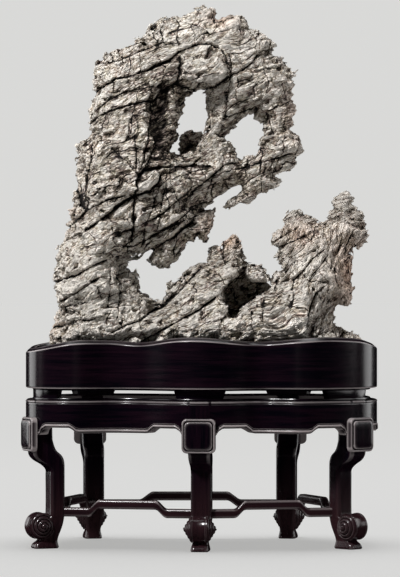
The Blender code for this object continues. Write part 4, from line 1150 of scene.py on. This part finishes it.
def cracks(tree, layers, grit, patches):
    """1 on a fissure or a thin crack and 0 off it."""
    ragged = weighted(tree, (grit, 1.0), (patches, 1.0), (1.0, -0.9))
    reach = calculate(tree, "ADD", calculate(tree, "ABSOLUTE", attribute(tree, "fissure_across")), ragged)
    dark = calculate(tree, "MULTIPLY", map_range(tree, reach, FISSURE_EDGE, FALL, "SMOOTHSTEP"),
                     calculate(tree, "LESS_THAN", attribute(tree, "fissure_near"), FISSURE_CLEAR))
    for family in HAIRLINES:
        dark = calculate(tree, "MAXIMUM", dark, hairlines(tree, layers, *family))
    return dark


def stone_material():
    material, tree, shader = new_material("stone_finish")
    layers = attribute(tree, "strata", "Vector")
    grit = noise(tree, vectors(tree, "MULTIPLY", layers, STONE_GRIT), 1.0, 2.0, Roughness=0.8)
    patches = noise(tree, layers, 0.05, 4.0, Roughness=0.6)
    in_height, in_tone = [(grit, GRIT_HEIGHT)], []
    for scale, start, gain, height_weights, tone_weights in CHIPS:
        tilt, edge, value = shards(tree, layers, scale, start)
        crease = calculate(tree, "MULTIPLY", edge, gain, clamp=True)
        in_height += zip((tilt, crease), height_weights)
        # In the tone the crease is painted shade along the creases between chips.
        in_tone += zip((crease, value, tilt), tone_weights)
    # Painted shade in hollows and painted highlight on crests.
    hollows = [attribute(tree, name) for name in ("hollow_shade_fine", "hollow_shade_wide")]
    marks = (grit, patches, *hollows, cracks(tree, layers, grit, patches), attribute(tree, "shade"), 1.0)
    tone = weighted(tree, *in_tone, *zip(marks, TONE_WEIGHTS))
    hues = noise(tree, layers, 0.11, 4.0, "Color", Roughness=0.7)
    mottled = mixed(tree, 0.3, colour_ramp(tree, tone, STONE_RAMP), hues, "SOFT_LIGHT")
    set_inputs(tree, shader, {
        "Base Color": mixed(tree, attribute(tree, "rust"), mottled, (*RUST_TINT, 1), "MULTIPLY"),
        "Normal": bump(tree, weighted(tree, *in_height), 1.0, STONE_BUMP),
        "Roughness": 0.8, "Specular IOR Level": 0.25})
    return material


def wood_material(name, scale):
    """Dark red-black wood with grain, browner near the feet, and pale on its edges for rubbing and painted
    highlights.
    """
    material, tree, shader = new_material(name)
    place = add_node(tree, "TexCoord", {}).outputs["Object"]
    fibres = noise(tree, vectors(tree, "MULTIPLY", place, scale), 1.0, 6.0, Roughness=0.65, Distortion=0.3)
    clouds = noise(tree, place, 9.0, 3.0)
    grain = weighted(tree, (fibres, 0.75), (clouds, 0.25))
    grain = colour_ramp(tree, grain, tuple(zip(WOOD_CONTRAST, (WOOD_DARK, WOOD_LIGHT))))
    height = add_node(tree, "SeparateXYZ", {"Vector": place}).outputs["Z"]
    near_feet = map_range(tree, height, FOOT_BROWN, FALL, "SMOOTHSTEP")
    brown = weighted(tree, (fibres, 1.2), (clouds, 0.8), (1.0, -0.3))
    brown = calculate(tree, "MULTIPLY", near_feet, brown, clamp=True)
    # Pale edges: partly rubbed wood, partly painted highlight standing in for gloss on the beads and corners.
    rubbed_and_highlit = calculate(tree, "POWER", attribute(tree, "edge"), RUBBING_AND_HIGHLIGHT_POWER)
    rubbed_and_highlit = calculate(tree, "MULTIPLY", rubbed_and_highlit, weighted(tree, (clouds, 1.1), (1.0, 0.1)), clamp=True)
    colour = mixed(tree, rubbed_and_highlit, mixed(tree, brown, grain, (*WOOD_BROWN, 1)), (*WOOD_RUBBED_AND_HIGHLIT, 1))
    set_inputs(tree, shader, {
        "Base Color": colour, "Normal": bump(tree, fibres, 0.15, 0.0005),
        "Roughness": weighted(tree, (fibres, 0.12), (clouds, 0.12), (rubbed_and_highlit, 0.1), (1.0, 0.08)),
        "Specular IOR Level": 0.33})
    return material


# ---------------------------------------------------------------- studio
BACKDROP = (0.694, 0.694, 0.683)
FLOOR_ALBEDO = 0.55
FLOOR_LIT = 0.372                 # share of the floor's brightness that the ceiling lamp gives under itself
LIT_RADIUS = 3.6                  # metres: that share falls off as (1 + (distance / this)^2)^-2
CAMERA_GRID = (-1.0, -3500.0, 256.0)
HALF_HEIGHT_PIXELS = 288.5        # half the picture's height, one pixel to a grid unit at y = 0
FLOOR_HALF = 60.0                 # metres
LAMP_TARGET = (0, 0, 0.35)
# Lamps: name, place, width in metres, watts, and whether the floor is lit too.
LAMPS = (
    ("key", (-1.5, -1.9, 2.5), 0.4, 140, False), ("ceiling", (0, 0.3, 3.0), 2.4, 48, True),
    ("left", (-3.0, -0.4, 1.1), 1.6, 18, False), ("right", (3.0, -0.6, 1.1), 1.6, 19, False),
    ("back_left", (-2.6, 1.5, 0.9), 2.2, 34, False), ("back_right", (2.6, 1.5, 0.9), 2.2, 28, False),
)


def make_floor():
    """Pale floor as bright as the backdrop: the ceiling lamp gives part of it, the floor the rest."""
    material, tree, shader = new_material("studio_floor")
    place = add_node(tree, "NewGeometry", {}).outputs["Position"]
    distance = vectors(tree, "LENGTH", place, output="Value")
    spread = calculate(tree, "POWER", calculate(tree, "DIVIDE", distance, LIT_RADIUS), 2.0)
    lit = calculate(tree, "POWER", calculate(tree, "ADD", spread, 1.0), 2.0)
    lit = calculate(tree, "DIVIDE", FLOOR_LIT, lit)
    set_inputs(tree, shader, {
        "Base Color": (FLOOR_ALBEDO, FLOOR_ALBEDO, FLOOR_ALBEDO, 1), "Roughness": 1.0,
        "Specular IOR Level": 0.0, "Emission Color": (*BACKDROP, 1),
        "Emission Strength": calculate(tree, "SUBTRACT", 1.0, lit)})
    mesh = bpy.data.meshes.new("studio_floor")
    corners = [(x * FLOOR_HALF, y * FLOOR_HALF, 0) for x, y in ((-1, -1), (1, -1), (1, 1), (-1, 1))]
    mesh.from_pydata(corners, [], [(0, 1, 2, 3)])
    mesh.materials.append(material)
    floor = new_object("studio_floor", mesh)
    floor.visible_glossy = False
    return floor


def not_lit(ob):
    """A collection that keeps one object out of a lamp's light."""
    group = bpy.data.collections.new("not_lit_" + ob.name)
    group.objects.link(ob)
    group.collection_objects[0].light_linking.link_state = "EXCLUDE"
    return group


def make_light(name, place, size, power):
    light = bpy.data.lights.new(name, "AREA")
    light.shape = "DISK"
    light.size = size
    light.energy = power
    ob = new_object(name, light)
    ob.location = place
    ob.rotation_euler = (Vector(LAMP_TARGET) - Vector(place)).to_track_quat("-Z", "Y").to_euler()
    return ob


def make_world():
    """A pale backdrop all round, which lights nothing: the lamps do."""
    world = bpy.data.worlds.new("studio")
    bpy.context.scene.world = world
    world.use_nodes = True
    world.node_tree.nodes["Background"].inputs["Color"].default_value = (*BACKDROP, 1)
    world.cycles_visibility.diffuse = False
    world.cycles_visibility.glossy = False


def make_camera():
    camera = bpy.data.cameras.new("camera")
    camera.sensor_fit = "VERTICAL"
    camera.angle_y = 2 * math.atan(HALF_HEIGHT_PIXELS / -CAMERA_GRID[1])
    camera.clip_end = 100
    ob = new_object("camera", camera)
    ob.location = (np.array(CAMERA_GRID) - PLAN_CENTRE) * GRID
    ob.rotation_euler = (math.pi / 2, 0, 0)
    bpy.context.scene.camera = ob


def make_stone():
    piece = stone_mesh()
    mark_stone(piece.data)
    piece.data.shade_smooth()
    piece.data.set_sharp_from_angle(angle=math.radians(STONE_SHARP))
    piece.data.materials.clear()
    piece.data.materials.append(stone_material())
    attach(piece, BODY)
    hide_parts("rock")


along, across = WOOD_GRAIN
level_wood = wood_material("wood_level", (along, along, across))
upright_wood = wood_material("wood_upright", (across, across, along))
make_stand(level_wood, upright_wood)
make_stone()
make_world()
unlit_floor = not_lit(make_floor())
for lamp_name, lamp_place, lamp_size, lamp_power, lights_floor in LAMPS:
    lamp = make_light(lamp_name, lamp_place, lamp_size, lamp_power)
    if not lights_floor:
        lamp.light_linking.receiver_collection = unlit_floor
make_camera()
bpy.context.scene.view_settings.view_transform = "Standard"
